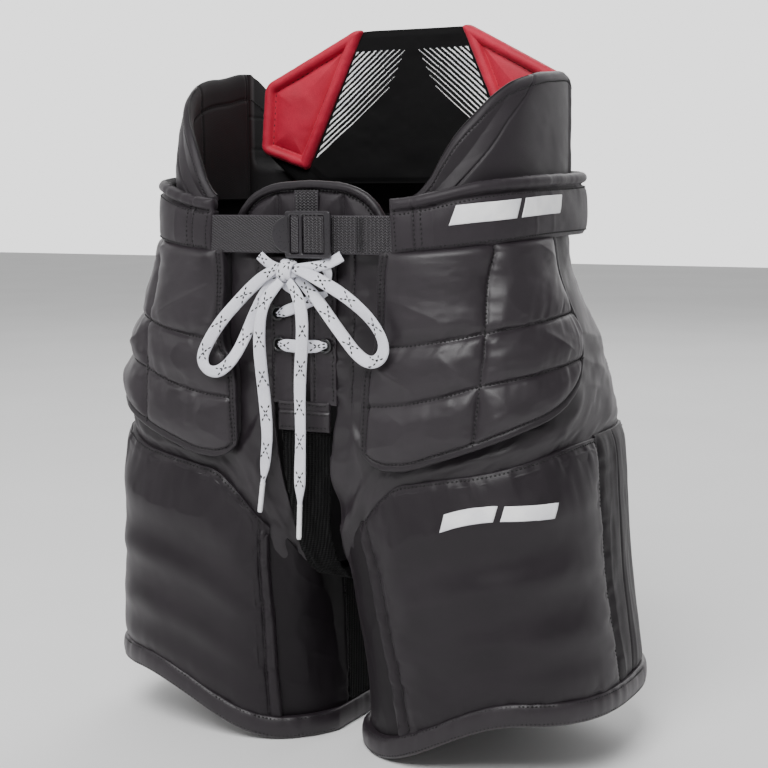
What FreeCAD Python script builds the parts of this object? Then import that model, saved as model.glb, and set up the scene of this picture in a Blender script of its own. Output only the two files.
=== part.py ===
# Youth ice-hockey goalie pants, modelled as they are sewn: shells, pads, belt, back guard, laces.
# Millimetres. +Z up, front of the garment faces -Y, the wearer's left is +X.
# Origin: centre of the footprint, on the plane that the two lowest hem edges rest on.
import FreeCAD, Part
import math, os

V = FreeCAD.Vector

# ---------------------------------------------------------------- driving dimensions
FABRIC = 2.0            # shell panel, nylon plus backing
GAP = 0.8               # air between neighbouring sewn pieces
HEM_TALL = 15.0         # bound hem
HEM_RISE = 41.0         # how much higher the hem is at the outside
HEM_IN, HEM_OUT = 35.0, 150.0
TRUNK_TOP = 368.0       # top of the shell, inside the belt
WEB_WIDE = 25.0         # belt webbing
WEB_THICK = 1.5
BELT_IN, BELT_MID, BELT_OUT = 3.5, 9.0, 12.5   # offsets of the belt foam and sleeve
LEG_X_CLEAR = 13.0      # the legs keep this far from the middle plane
HIP_Z = 215.0           # height of the hip crease axis
LACE_D = 3.2            # round stand-in for the flat lace
LACE_WIDE = 9.0
GUARD_Y = 69.0          # front face of the back guard's foam
GUARD_THICK = 10.0

# sections of one half of the garment: z, cx, A, cy, B front, B back, exponent
SEC = [
    (0, 103, 92, 6, 84, 92, 2.5), (60, 99, 89, 4, 88, 95, 2.6), (120, 92, 88, 2, 94, 98, 2.7),
    (170, 84, 92, 2, 98, 100, 2.8), (220, 70, 102, 2, 99, 100, 2.9), (280, 52, 107, 2, 98, 98, 2.9),
    (340, 38, 99, 2, 95, 94, 2.8), (385, 36, 98, 2, 95, 94, 2.8), (480, 36, 98, 2, 95, 94, 2.8)]


def lerp_table(tab, x):
    if x <= tab[0][0]:
        return tab[0][1]
    for (a, fa), (b, fb) in zip(tab, tab[1:]):
        if x <= b:
            return fa + (fb - fa) * (x - a) / (b - a)
    return tab[-1][1]


def smooth_table(xs, ys, x):
    """monotone cubic through the table"""
    n = len(xs)
    if x <= xs[0]:
        return ys[0]
    if x >= xs[-1]:
        return ys[-1]
    h = [xs[i + 1] - xs[i] for i in range(n - 1)]
    d = [(ys[i + 1] - ys[i]) / h[i] for i in range(n - 1)]
    m = [d[0]] + [0.0] * (n - 2) + [d[-1]]
    for i in range(1, n - 1):
        if d[i - 1] * d[i] > 0:
            w1, w2 = 2 * h[i] + h[i - 1], h[i] + 2 * h[i - 1]
            m[i] = (w1 + w2) / (w1 / d[i - 1] + w2 / d[i])
    i = max(k for k in range(n - 1) if xs[k] <= x)
    t = (x - xs[i]) / h[i]
    return ((1 + 2 * t) * (1 - t) ** 2 * ys[i] + t * (1 - t) ** 2 * h[i] * m[i]
            + t * t * (3 - 2 * t) * ys[i + 1] + t * t * (t - 1) * h[i] * m[i + 1])


SZ = [s[0] for s in SEC]


def section(z):
    return [smooth_table(SZ, [s[k] for s in SEC], z) for k in range(1, 7)]


def spow(v, e):
    return math.copysign(abs(v) ** e, v)


def ring(z, th, off=0.0):
    """point of one half's ring; th in degrees: 0 outward, -90 front, 90 back"""
    cx, A, cy, Bf, Bb, n = section(z)
    c, s = math.cos(math.radians(th)), math.sin(math.radians(th))
    B = Bf if s < 0 else Bb
    return cx + (A + off) * spow(c, 2 / n), cy + (B + off) * spow(s, 2 / n)


def phi_of(z, th):
    cx, A, cy, Bf, Bb, n = section(z)
    x, y = ring(z, th)
    p = math.degrees(math.atan2(y - cy, x - cx))
    if th < -150 and p > 90:
        p -= 360
    if th > 150 and p < -90:
        p += 360
    return p


def polar(z, ph, off):
    cx, A, cy, Bf, Bb, n = section(z)
    c, s = math.cos(math.radians(ph)), math.sin(math.radians(ph))
    B = Bf if s < 0 else Bb
    r = ((abs(c) / (A + off)) ** n + (abs(s) / (B + off)) ** n) ** (-1 / n)
    return cx + r * c, cy + r * s


def theta_at_x(z, x, back=False):
    """th where the ring passes x, in front or behind"""
    lo, hi = -179.0, -90.0
    z = max(z, 185.0)
    for _ in range(50):
        m = (lo + hi) / 2
        if ring(z, m)[0] < x:
            lo = m
        else:
            hi = m
    return -lo if back else lo


def hem(x):
    u = min(1.0, max(0.0, (abs(x) - HEM_IN) / (HEM_OUT - HEM_IN)))
    return HEM_RISE * u * u * (3 - 2 * u)


LEG_TOP = [(-180, 118), (-150, 122), (-125, 150), (-113, 163), (-98, 185), (-88, 199), (-69, 206), (-5, 222),
           (45, 222), (75, 212), (90, 203), (110, 178), (125, 152), (150, 122), (180, 118), (260, 160)]


def leg_top(th):
    while th < -180:
        th += 360
    return smooth_table([a for a, b in LEG_TOP], [b for a, b in LEG_TOP], th)


def trunk_low(th):
    s = math.sin(math.radians(th))
    return leg_top(th) + 8 + (20 * -s if s < 0 else 14 * s)


# ---------------------------------------------------------------- solids from grids
def skin(g):
    s = Part.BSplineSurface()
    s.interpolate([[V(*p) for p in r] for r in g])
    return s


def slab(g0, g1):
    a, b = skin(g1), skin(g0)
    faces = [a.toShape(), b.toShape()]

    def edges(s):
        u0, u1, v0, v1 = s.bounds()
        return [s.uIso(u0).toShape(), s.uIso(u1).toShape(), s.vIso(v0).toShape(), s.vIso(v1).toShape()]
    for e, f in zip(edges(a), edges(b)):
        faces.append(Part.makeRuledSurface(e, f))
    sh = Part.makeShell(faces)
    sh.sewShape()
    so = Part.makeSolid(sh)
    if so.Volume < 0:
        so.reverse()
    return so


def ease(u):
    u = min(1.0, max(0.0, u))
    return u * u * (3 - 2 * u)


def patch(side, th0, th1, zlo, zhi, o0, o1, ns=8, nt=4, xmin=None, taper=None, shift=None):
    """a curved plate on one half: th0/th1 are angles or functions of t, zlo/zhi functions of (th, x)"""
    hem_side = callable(zlo) and zlo(0, 150) < 100
    f0 = th0 if callable(th0) else (lambda z: th0)
    f1 = th1 if callable(th1) else (lambda z: th1)
    g = [[], []]
    for i in range(ns + 1):
        rows = ([], [])
        for j in range(nt + 1):
            s, t = i / ns, j / nt
            z = 150.0 if hem_side else 250.0
            for _ in range(14):                      # the limits depend on z, and z on the angle
                ph = phi_of(z, f0(z)) * (1 - s) + phi_of(z, f1(z)) * s
                x, y = polar(z, ph, 0)
                cx, A, cy, Bf, Bb, n = section(z)
                B = Bf if y < cy else Bb
                th = math.degrees(math.atan2(spow((y - cy) / B, n / 2), spow((x - cx) / A, n / 2)))
                if ph < -180:
                    th -= 360
                if ph > 180:
                    th += 360
                lo = zlo(th, x) if callable(zlo) else zlo
                hi = zhi(th, x) if callable(zhi) else zhi
                z = 0.4 * z + 0.6 * (lo + (hi - lo) * t)
            k = taper(s, t) if taper else 1.0
            d = shift(s, t) if shift else 0.0
            for q, o in ((0, o0 + d), (1, o0 + d + (o1 - o0) * k)):
                x, y = polar(z, ph, o)
                if xmin is not None:
                    x = max(x, xmin - min(o, 0) if q == 0 else xmin)
                    if q == 0:
                        x = max(x, xmin + 0.01)
                rows[q].append((side * x, y, z))
        g[0].append(rows[0])
        g[1].append(rows[1])
    return slab(g[0], g[1])


def band(stations, zlo, zhi, o0, o1, nt=2):
    """a strip that runs round both halves: stations are (side, th)"""
    g = [[], []]
    for side, th in stations:
        rows = ([], [])
        for j in range(nt + 1):
            t = j / nt
            z = 360.0
            for _ in range(4):
                lo, hi = zlo(th), zhi(th)
                z = lo + (hi - lo) * t
            for q, o in ((0, o0), (1, o1)):
                x, y = ring(z, th, o)
                rows[q].append((side * max(x, 0.0), y, z))
        g[0].append(rows[0])
        g[1].append(rows[1])
    return slab(g[0], g[1])


def box(x0, x1, y0, y1, z0, z1):
    return Part.makeBox(x1 - x0, y1 - y0, z1 - z0, V(x0, y0, z0))


def plate(poly, y0, y1):
    w = Part.makePolygon([V(x, y0, z) for x, z in poly] + [V(poly[0][0], y0, poly[0][1])])
    return Part.Face(w).extrude(V(0, y1 - y0, 0))


def tube(points, d, name):
    """straight runs joined by tangent arcs, each as large as its two runs allow"""
    P = [V(*p) for p in points]
    edges, cur, radii = [], P[0], []
    for i in range(1, len(P) - 1):
        a, b = P[i] - P[i - 1], P[i + 1] - P[i]
        la, lb = a.Length, b.Length
        turn = a.getAngle(b)
        a.normalize()
        b.normalize()
        r = 0.45 * min(la, lb) / math.tan(turn / 2)
        back = 0.45 * min(la, lb)
        p0, p1 = P[i] - a * back, P[i] + b * back
        mid_dir = b - a
        mid_dir.normalize()
        centre = P[i] + mid_dir * (r / math.cos(turn / 2))
        m = centre - mid_dir * r
        edges.append(Part.LineSegment(cur, p0).toShape())
        edges.append(Part.Arc(p0, m, p1).toShape())
        cur = p1
        radii.append(round(r, 1))
    edges.append(Part.LineSegment(cur, P[-1]).toShape())
    w = Part.Wire(edges)
    t0 = P[1] - P[0]
    prof = Part.Wire(Part.makeCircle(d / 2, P[0], t0))
    so = w.makePipeShell([prof], True, True)
    if so.ShapeType != "Solid":
        so = Part.Solid(so)
    if so.Volume < 0:
        so.reverse()
    L = w.Length
    print("%s length %.1f mm, volume %.0f of %.0f, radii %s" % (name, L, so.Volume, math.pi * d * d / 4 * L, radii))
    return so


def rounded(s, t, e=0.16, k=0.45):
    """taper of a pad towards its edges: 1 in the middle, k at the edge"""
    m = min(s, 1 - s, t, 1 - t) / e
    return 1.0 if m >= 1 else k + (1 - k) * math.sin(m * math.pi / 2)


nodes = {}
SIDES = (("left", 1), ("right", -1))

# ---------------------------------------------------------------- legs
INNER = {1: [(22, -106), (90, -108), (165, -107)], -1: [(22, -124), (90, -121), (165, -113)]}
for nm, sd in SIDES:
    fin = lambda z, sd=sd: lerp_table(INNER[sd], z)
    low = lambda th, x: hem(x) + HEM_TALL + 1.6
    top = lambda th, x: leg_top(th) - 0.4
    nodes["thigh_cover_" + nm] = patch(sd, fin, -4, low, top, 4.8, 6.6, 14, 8, shift=lambda s, t: -3.2 * ease((t - 0.8) / 0.2))
    nodes["thigh_foam_" + nm] = patch(sd, lambda z, f=fin: f(z) + 2, -6, lambda th, x: hem(x) + 19,
                                      lambda th, x: leg_top(th) - 12, -3.0, 0.8, 14, 6)
    nodes["thigh_plate_" + nm] = patch(sd, lambda z, f=fin: f(z) + 6, -10, lambda th, x: hem(x) + 26,
                                       lambda th, x: leg_top(th) - 36, 1.8, 3.4, 14, 6)
    nodes["side_panel_" + nm] = patch(sd, -3, 27, low, top, -1.0, 5.0, 6, 6)
    nodes["rear_panel_" + nm] = patch(sd, 28.2, 118, low, top, -1.0, 3.0, 14, 6, xmin=LEG_X_CLEAR)
    nodes["inner_panel_" + nm] = patch(sd, lambda z, f=fin: f(z) - 1.2, -240.5, low, top, -FABRIC, 0, 20, 6,
                                       xmin=LEG_X_CLEAR)
    # bound hem, one closed band round the leg
    g = [[[], []], [[], []]]
    pts_in, pts_out = [], []
    N = 36
    for i in range(N):
        ph = -180 + 360.0 * i / N
        c = {}
        for o in (-1.0, 5.5):
            x, y = polar(8, ph, o)
            x = max(x, LEG_X_CLEAR - (o if o < 0 else 0) + (0 if o > 0 else 0.2))
            c[o] = (x, y)
        pts_in.append(c[-1.0])
        pts_out.append(c[5.5])

    def hem_solid(pts):
        wires = []
        faces = []
        lo = [V(sd * x, y, hem(x)) for x, y in pts]
        hi = [V(sd * x, y, hem(x) + HEM_TALL) for x, y in pts]
        return lo, hi
    lo_i, hi_i = hem_solid(pts_in)
    lo_o, hi_o = hem_solid(pts_out)
    faces = []

    def tri(a, b, c):
        faces.append(Part.Face(Part.makePolygon([a, b, c, a])))
    for i in range(N):
        j = (i + 1) % N
        for A_, B_ in ((lo_o, hi_o), (hi_i, lo_i), (lo_i, lo_o), (hi_o, hi_i)):
            tri(A_[i], A_[j], B_[j])
            tri(A_[i], B_[j], B_[i])
    sh = Part.makeShell(faces)
    sh.sewShape()
    so = Part.makeSolid(sh)
    if so.Volume < 0:
        so.reverse()
    nodes["hem_band_" + nm] = so
    # the soft fold between pad and trunk
    N2 = 24
    g0, g1 = [], []
    za = 190.0
    p0 = phi_of(za, theta_at_x(za, 40))
    p1 = phi_of(za, theta_at_x(za, 45, True))
    for i in range(N2 + 1):
        x, y = polar(za, p0 + (p1 - p0) * i / N2, 0)
        cx, A, cy, Bf, Bb, n = section(za)
        B = Bf if y < cy else Bb
        th = math.degrees(math.atan2(spow((y - cy) / B, n / 2), spow((x - cx) / A, n / 2)))
        lo, hi = leg_top(th) + 2.4, trunk_low(th) - 1.6
        r0, r1 = [], []
        for t in (0, 0.5, 1):
            z = lo + (hi - lo) * t
            for o, r in ((-FABRIC, r0), (0, r1)):
                x, y = ring(z, th, o)
                r.append((sd * x, y, z))
        g0.append(r0)
        g1.append(r1)
    nodes["hip_crease_" + nm] = slab(g0, g1)

# ---------------------------------------------------------------- trunk shell and hip pads
HIP_LOW = [(-100, 206), (-98, 205), (-91, 206), (-84, 214), (-69, 223), (-50, 233), (-30, 242), (-16, 256), (-9, 280), (-3, 300)]


def hip_low(th):
    return smooth_table([a for a, b in HIP_LOW], [b for a, b in HIP_LOW], th)


for nm, sd in SIDES:
    nodes["front_shell_" + nm] = patch(sd, lambda z: theta_at_x(z, 24.2), -4, lambda th, x: trunk_low(th),
                                       TRUNK_TOP, -FABRIC, 0, 14, 6)
    nodes["seat_shell_" + nm] = patch(sd, -2.6, lambda z: theta_at_x(z, 0.8, True), lambda th, x: trunk_low(th),
                                      TRUNK_TOP, -FABRIC, 0, 14, 6)
    hin = lambda z: lerp_table([(205, -97), (219, -96), (245, -93), (287, -89), (343, -84)], z)
    hlo = lambda th, x: hip_low(th)
    nodes["hip_foam_" + nm] = patch(sd, lambda z, f=hin: f(z) + 4, -8, lambda th, x: max(hip_low(th), trunk_low(th)) + 12,
                                    338, 0.8, 5.0, 12, 6)
    nodes["hip_plate_" + nm] = patch(sd, lambda z, f=hin: f(z) + 7, -12, lambda th, x: max(hip_low(th), trunk_low(th)) + 18,
                                     332, 5.8, 7.4, 12, 6)
    nodes["hip_cover_" + nm] = patch(sd, hin, -4, hlo, 342.5, 8.6, 12.4, 14, 8)
    nodes["seat_pad_" + nm] = patch(sd, 18, 78, lambda th, x: trunk_low(th) + 6, 334, -11, -3.4, 8, 4)

# ---------------------------------------------------------------- fly, tongue, gusset
for nm, sd in SIDES:
    b = box(5, 23.2, -96.4, -94.4, 245, 341) if sd > 0 else box(-23.2, -5, -96.4, -94.4, 245, 341)
    for x, z in ((17.5, 284), (18.5, 304.5), (18.5, 326)):
        b = b.cut(Part.makeCylinder(2.6, 10, V(sd * x, -100, z), V(0, 1, 0)))
    nodes["fly_facing_" + nm] = b
rings = []
for sd in (1, -1):
    for x, z in ((17.5, 284), (18.5, 304.5), (18.5, 326)):
        r = Part.makeCylinder(4.4, 0.9, V(sd * x, -97.9, z), V(0, 1, 0)).cut(
            Part.makeCylinder(2.6, 3, V(sd * x, -99, z), V(0, 1, 0)))
        rings.append(r)
nodes["eyelets"] = Part.makeCompound(rings)
nodes["fly_base"] = box(-19, 19, -97.2, -95.2, 229, 244)
arch = [(-46, 250), (46, 250), (54, 300), (56, 345), (52, 366), (42, 378), (26, 384), (0, 386), (-26, 384), (-42, 378),
        (-52, 366), (-56, 345), (-54, 300)]
nodes["tongue_pad"] = plate(arch, -88.0, -81.0)
# bound edge over the top of the tongue
outer = [(-57.4, 346), (-53.4, 367), (-43.2, 379.8), (-26.5, 386), (0, 388), (26.5, 386), (43.2, 379.8), (53.4, 367), (57.4, 346)]
outer2 = [(61.4, 346), (57, 369), (45.4, 383.4), (27.5, 390), (0, 392), (-27.5, 390), (-45.4, 383.4), (-57, 369), (-61.4, 346)]
nodes["tongue_binding"] = plate(outer + outer2, -88.8, -80.5)
nodes["tongue_webbing"] = box(-9, 9, -90.3, -88.7, 330, 385)
path = [(-92.5, 227), (-91.5, 190), (-86, 150), (-66, 122), (-30, 113), (20, 112), (62, 120), (88, 146), (97, 190), (97, 226)]


def offset_path(p, d):
    out = []
    for i in range(len(p)):
        a = p[max(i - 1, 0)]
        b = p[min(i + 1, len(p) - 1)]
        ty, tz = b[0] - a[0], b[1] - a[1]
        l = math.hypot(ty, tz)
        out.append((p[i][0] - tz / l * d, p[i][1] + ty / l * d))
    return out


gp = path + offset_path(path, 2.0)[::-1]
w = Part.makePolygon([V(-12, y, z) for y, z in gp] + [V(-12, *gp[0])])
nodes["crotch_gusset"] = Part.Face(w).extrude(V(24, 0, 0))

# ---------------------------------------------------------------- belt
def belt_lo(th):
    return lerp_table([(-90, 344), (-78, 345), (-43, 350), (4, 354), (120, 354)], th)


def belt_hi(th):
    return lerp_table([(-90, 371), (-78, 373), (-42, 384), (0, 388), (60, 390), (120, 390)], th)


def around(t_front, n=11):
    back = theta_at_x(360, 0.0, True)
    a = []
    for i in range(n + 1):
        u = i / n
        ph = phi_of(360, t_front) + (phi_of(360, back) - phi_of(360, t_front)) * u
        x, y = polar(360, ph, 0)
        cx, A, cy, Bf, Bb, nn = section(360)
        B = Bf if y < cy else Bb
        a.append(math.degrees(math.atan2(spow((y - cy) / B, nn / 2), spow((x - cx) / A, nn / 2))))
    return [(1, t) for t in a] + [(-1, t) for t in a[::-1][1:]]


nodes["belt_sleeve"] = band(around(-80), belt_lo, belt_hi, BELT_MID + 0.6, BELT_OUT)
nodes["belt_foam"] = band(around(-72), lambda t: belt_lo(t) + 2, lambda t: belt_hi(t) - 1, BELT_IN, BELT_MID)
nodes["belt_roll"] = band(around(-76), lambda t: belt_hi(t) + GAP, lambda t: belt_hi(t) + 7, BELT_IN + 1, BELT_OUT - 1)

# ---------------------------------------------------------------- webbing strap and buckle
SY0, SY1 = -100.3, -100.3 + WEB_THICK
WZ0 = 344.2
nodes["strap_left"] = box(20, 71, SY0, SY1, WZ0, WZ0 + WEB_WIDE)
nodes["strap_right"] = box(-71, -2, SY0, SY1, WZ0, WZ0 + WEB_WIDE)
BY0, BY1 = -105.4, -103.0
fr = box(-8, 26, BY0, BY1, 341.4, 372.0)
fr = fr.cut(box(-4.0, 2.6, BY0 - 1, BY1 + 1, 344.2, 369.4)).cut(box(5.0, 21.5, BY0 - 1, BY1 + 1, 344.2, 369.4))
tab = Part.makeCylinder(12, BY1 - BY0, V(-5.5, BY0, WZ0 + 12.5), V(0, 1, 0)).common(box(-20, -7.9, BY0, BY1, 340, 372))
nodes["buckle"] = fr.fuse(tab).removeSplitter()
nodes["strap_weave"] = box(-3.4, 2.0, BY0 + 0.4, BY1 - 0.4, 344.8, 368.8).fuse(
    box(-3.4, 20.5, BY1 + 0.4, BY1 + 1.2, 344.8, 368.8)).fuse(box(5.6, 20.5, BY0 + 0.4, BY1 - 0.4, 344.8, 368.8)).fuse(
    box(-3.4, 2.0, BY1 - 0.5, BY1 + 0.5, 344.8, 368.8)).fuse(box(5.6, 20.5, BY1 - 0.5, BY1 + 0.5, 344.8, 368.8)).removeSplitter()

# ---------------------------------------------------------------- back guard
G0, G1 = GUARD_Y, GUARD_Y + GUARD_THICK
core = [(-43, 500), (43, 500), (119, 462), (123, 412), (88, 398), (72, 396), (-72, 396), (-88, 398), (-123, 412), (-119, 462)]
nodes["guard_foam"] = plate(core, G0, G1)
nodes["guard_backing"] = plate([(x * 1.02, z + (3 if z > 490 else 0)) for x, z in core], G1 + 0.6, G1 + 2.4)
nodes["guard_face"] = plate([(-38, 502), (38, 502), (84, 400), (72, 397), (-72, 397), (-84, 400)], G0 - 2.8, G0 - 0.6)
for nm, sd in SIDES:
    kite = [(39.5 * sd, 502), (44 * sd, 502.5), (121 * sd, 464), (125 * sd, 412), (88 * sd, 399), (85.5 * sd, 401)]
    nodes["guard_pad_" + nm] = plate(kite, G0 - 8.0, G0 - 0.6)

# ---------------------------------------------------------------- hip wings
WT = [(-82, 389), (-70, 412), (-60, 429), (-45, 447), (-20, 459), (0, 463), (20, 463)]
for nm, sd in SIDES:
    top = lambda th, x: lerp_table(WT, th)
    nodes["wing_cover_" + nm] = patch(sd, -80, 16, 379, top, -2.0, -0.2, 8, 3)
    nodes["wing_foam_" + nm] = patch(sd, -79, 16, 379, top, -8.6, -2.6, 8, 3)

# ---------------------------------------------------------------- laces
LOOP_L = [(-11.8, -107.4, 336.0), (-22.2, -108.5, 329.5), (-31.0, -109.5, 322.3), (-40.3, -111, 313.0), (-53.0, -113, 299.6),
          (-62.7, -114, 285.9), (-68.6, -114, 274.5), (-66.1, -113.5, 266.4), (-57.6, -112.5, 264.2), (-48.6, -111, 270.6),
          (-41.6, -109.6, 280.4), (-36.0, -108, 292.0), (-30.4, -107.0, 304.6), (-24.4, -105.8, 316.1), (-18.6, -104.2, 325.2),
          (-11.8, -102.8, 330.5)]
LOOP_R = [(-0.8, -106.6, 335.0), (9.0, -108.5, 332.8), (22.6, -110, 327.0), (36.8, -112, 320.6), (50.3, -114, 312.6),
          (61.5, -115, 303.4), (68.3, -115, 293.6), (69.6, -114, 285.0), (65.1, -113, 278.2), (56.8, -112, 276.2),
          (47.6, -111, 281.7), (38.4, -110, 291.4), (29.1, -109, 301.9), (19.9, -107, 311.8), (10.8, -104.8, 320.4),
          (-0.6, -102.6, 328.6)]
END_L = [(-9.0, -108.6, 326.5), (-15.5, -111.6, 319.5), (-20.8, -112.6, 310.0), (-23.4, -112.6, 298.0), (-24.3, -112.2, 284.0),
         (-23.4, -111.2, 268.0), (-22.4, -109.6, 251.0), (-22.1, -107.6, 233.6), (-23.2, -105.2, 216.5), (-28.4, -103.2, 191.0)]
END_R = [(-3.0, -108.6, 326.5), (3.6, -111.8, 320.5), (8.0, -112.8, 311.0), (9.3, -112.8, 299.0), (8.4, -112.4, 285.0),
         (6.6, -111.6, 269.0), (5.2, -110.4, 252.0), (4.4, -108.6, 235.0), (3.0, -106.4, 217.5), (1.2, -104.6, 199.0),
         (0.1, -103.2, 178.4)]
nodes["lace_loop_right"] = tube(LOOP_L, LACE_D, "lace_loop_right")
nodes["lace_loop_left"] = tube(LOOP_R, LACE_D, "lace_loop_left")
nodes["lace_end_right"] = tube(END_L, LACE_D, "lace_end_right")
nodes["lace_end_left"] = tube(END_R, LACE_D, "lace_end_left")


def aglet(a, b, d):
    a, b = V(*a), V(*b)
    return Part.makeCylinder(d / 2, (b - a).Length, a, b - a)


nodes["aglet_right"] = aglet((-28.4, -103.2, 191.0), (-31.8, -102.2, 170.2), 3.8)
nodes["aglet_left"] = aglet((0.1, -103.2, 178.4), (-1.2, -102.6, 154.6), 3.8)
k = box(-14.5, 1.5, -110.2, -101.4, 325.0, 340.5)
nodes["lace_knot"] = k.makeFillet(3.4, k.Edges)


def bar(a, b, wide, y0, y1):
    (xa, za), (xb, zb) = a, b
    l = math.hypot(xb - xa, zb - za)
    nx, nz = -(zb - za) / l * wide / 2, (xb - xa) / l * wide / 2
    return plate([(xa - nx, za - nz), (xb - nx, zb - nz), (xb + nx, zb + nz), (xa + nx, za + nz)], y0, y1)


nodes["lace_crossings"] = Part.makeCompound([
    bar((-18.5, 284), (18.5, 284), 9, -100.6, -98.9), bar((-19, 303.5), (19.5, 319), 8, -100.6, -98.9),
    bar((-13, 324), (-2, 318.5), 7, -100.6, -98.9)])

os.makedirs("parts", exist_ok=True)
bad = 0
for n, s in nodes.items():
    ok = s.isValid() and s.Volume > 0
    if not ok:
        bad += 1
        print("BAD", n, s.ShapeType, s.isValid(), s.Volume)
    s.exportStep("parts/%s.step" % n)
bb = FreeCAD.BoundBox()
for s in nodes.values():
    bb.add(s.BoundBox)
print(len(nodes), "nodes, bad", bad, "box", [round(v, 1) for v in (bb.XMin, bb.XMax, bb.YMin, bb.YMax, bb.ZMin, bb.ZMax)])
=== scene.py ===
import bpy, math
import numpy as np
from mathutils import Vector, Matrix


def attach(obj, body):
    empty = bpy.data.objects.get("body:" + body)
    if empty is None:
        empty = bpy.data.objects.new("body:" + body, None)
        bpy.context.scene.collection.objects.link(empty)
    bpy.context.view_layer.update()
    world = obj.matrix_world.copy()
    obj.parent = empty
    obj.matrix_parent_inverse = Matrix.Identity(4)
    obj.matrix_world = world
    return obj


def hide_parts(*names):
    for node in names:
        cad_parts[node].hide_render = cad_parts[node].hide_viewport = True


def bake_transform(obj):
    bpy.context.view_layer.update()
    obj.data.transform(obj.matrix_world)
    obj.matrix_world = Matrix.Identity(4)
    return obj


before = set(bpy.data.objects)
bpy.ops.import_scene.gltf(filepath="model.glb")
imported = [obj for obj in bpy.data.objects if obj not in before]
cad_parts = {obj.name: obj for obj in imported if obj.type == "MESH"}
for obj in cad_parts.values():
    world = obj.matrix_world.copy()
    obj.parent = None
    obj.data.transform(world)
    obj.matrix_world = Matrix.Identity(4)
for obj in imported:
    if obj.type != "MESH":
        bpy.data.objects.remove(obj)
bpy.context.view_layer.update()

MM = 0.001
RNG = np.random.default_rng(7)

# ------------------------------------------------------------------ garment surface (same table as the solids)
SEC = np.array([
    (0, 103, 92, 6, 84, 92, 2.5), (60, 99, 89, 4, 88, 95, 2.6), (120, 92, 88, 2, 94, 98, 2.7),
    (170, 84, 92, 2, 98, 100, 2.8), (220, 70, 102, 2, 99, 100, 2.9), (280, 52, 107, 2, 98, 98, 2.9),
    (340, 38, 99, 2, 95, 94, 2.8), (385, 36, 98, 2, 95, 94, 2.8), (480, 36, 98, 2, 95, 94, 2.8)], float)


def pchip(xs, ys, x):
    xs, ys = np.asarray(xs, float), np.asarray(ys, float)
    x = np.asarray(x, float)
    h = np.diff(xs)
    d = np.diff(ys) / h
    m = np.zeros(len(xs))
    m[0], m[-1] = d[0], d[-1]
    for i in range(1, len(xs) - 1):
        if d[i - 1] * d[i] > 0:
            w1, w2 = 2 * h[i] + h[i - 1], h[i] + 2 * h[i - 1]
            m[i] = (w1 + w2) / (w1 / d[i - 1] + w2 / d[i])
    q = np.clip(x, xs[0], xs[-1])
    i = np.clip(np.searchsorted(xs, q, side="right") - 1, 0, len(xs) - 2)
    t = (q - xs[i]) / h[i]
    return ((1 + 2 * t) * (1 - t) ** 2 * ys[i] + t * (1 - t) ** 2 * h[i] * m[i]
            + t * t * (3 - 2 * t) * ys[i + 1] + t * t * (t - 1) * h[i] * m[i + 1])


ZT = np.arange(0, 521, 1.0)
PT = [pchip(SEC[:, 0], SEC[:, k], ZT) for k in range(1, 7)]


def section(z):
    return [np.interp(z, ZT, p) for p in PT]


def spow(v, e):
    return np.sign(v) * np.abs(v) ** e


def ring(z, th, off=0.0):
    cx, A, cy, Bf, Bb, n = section(z)
    c, s = np.cos(np.radians(th)), np.sin(np.radians(th))
    B = np.where(s < 0, Bf, Bb)
    return cx + (A + off) * spow(c, 2 / n), cy + (B + off) * spow(s, 2 / n)


def phi_of(z, th):
    cx, A, cy, Bf, Bb, n = section(z)
    x, y = ring(z, th)
    p = np.degrees(np.arctan2(y - cy, x - cx))
    p = np.where((th < -150) & (p > 90), p - 360, p)
    return np.where((th > 150) & (p < -90), p + 360, p)


def polar(z, ph, off=0.0):
    cx, A, cy, Bf, Bb, n = section(z)
    c, s = np.cos(np.radians(ph)), np.sin(np.radians(ph))
    B = np.where(s < 0, Bf, Bb)
    r = ((np.abs(c) / (A + off)) ** n + (np.abs(s) / (B + off)) ** n) ** (-1 / n)
    return cx + r * c, cy + r * s


def theta_of(z, x, y, ph):
    cx, A, cy, Bf, Bb, n = section(z)
    B = np.where(y < cy, Bf, Bb)
    th = np.degrees(np.arctan2(spow((y - cy) / B, n / 2), spow((x - cx) / A, n / 2)))
    th = np.where(ph < -180, th - 360, th)
    return np.where(ph > 180, th + 360, th)


def theta_at_x(z, x, back=False):
    z = np.maximum(np.asarray(z, float), 185.0)
    lo, hi = np.full_like(z, -179.0), np.full_like(z, -90.0)
    for _ in range(40):
        m = (lo + hi) / 2
        less = ring(z, m)[0] < x
        lo, hi = np.where(less, m, lo), np.where(less, hi, m)
    return -lo if back else lo


def ease(u):
    u = np.clip(u, 0, 1)
    return u * u * (3 - 2 * u)


def hem(x):
    u = np.clip((np.abs(x) - 35.0) / 115.0, 0, 1)
    return 41.0 * u * u * (3 - 2 * u)


LEG_TOP = np.array([(-180, 118), (-150, 122), (-125, 150), (-113, 163), (-98, 185), (-88, 199), (-69, 206), (-5, 222),
                    (45, 222), (75, 212), (90, 203), (110, 178), (125, 152), (150, 122), (180, 118), (260, 160)], float)


def leg_top(th):
    th = np.where(th < -180, th + 360, th)
    return pchip(LEG_TOP[:, 0], LEG_TOP[:, 1], th)


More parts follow.
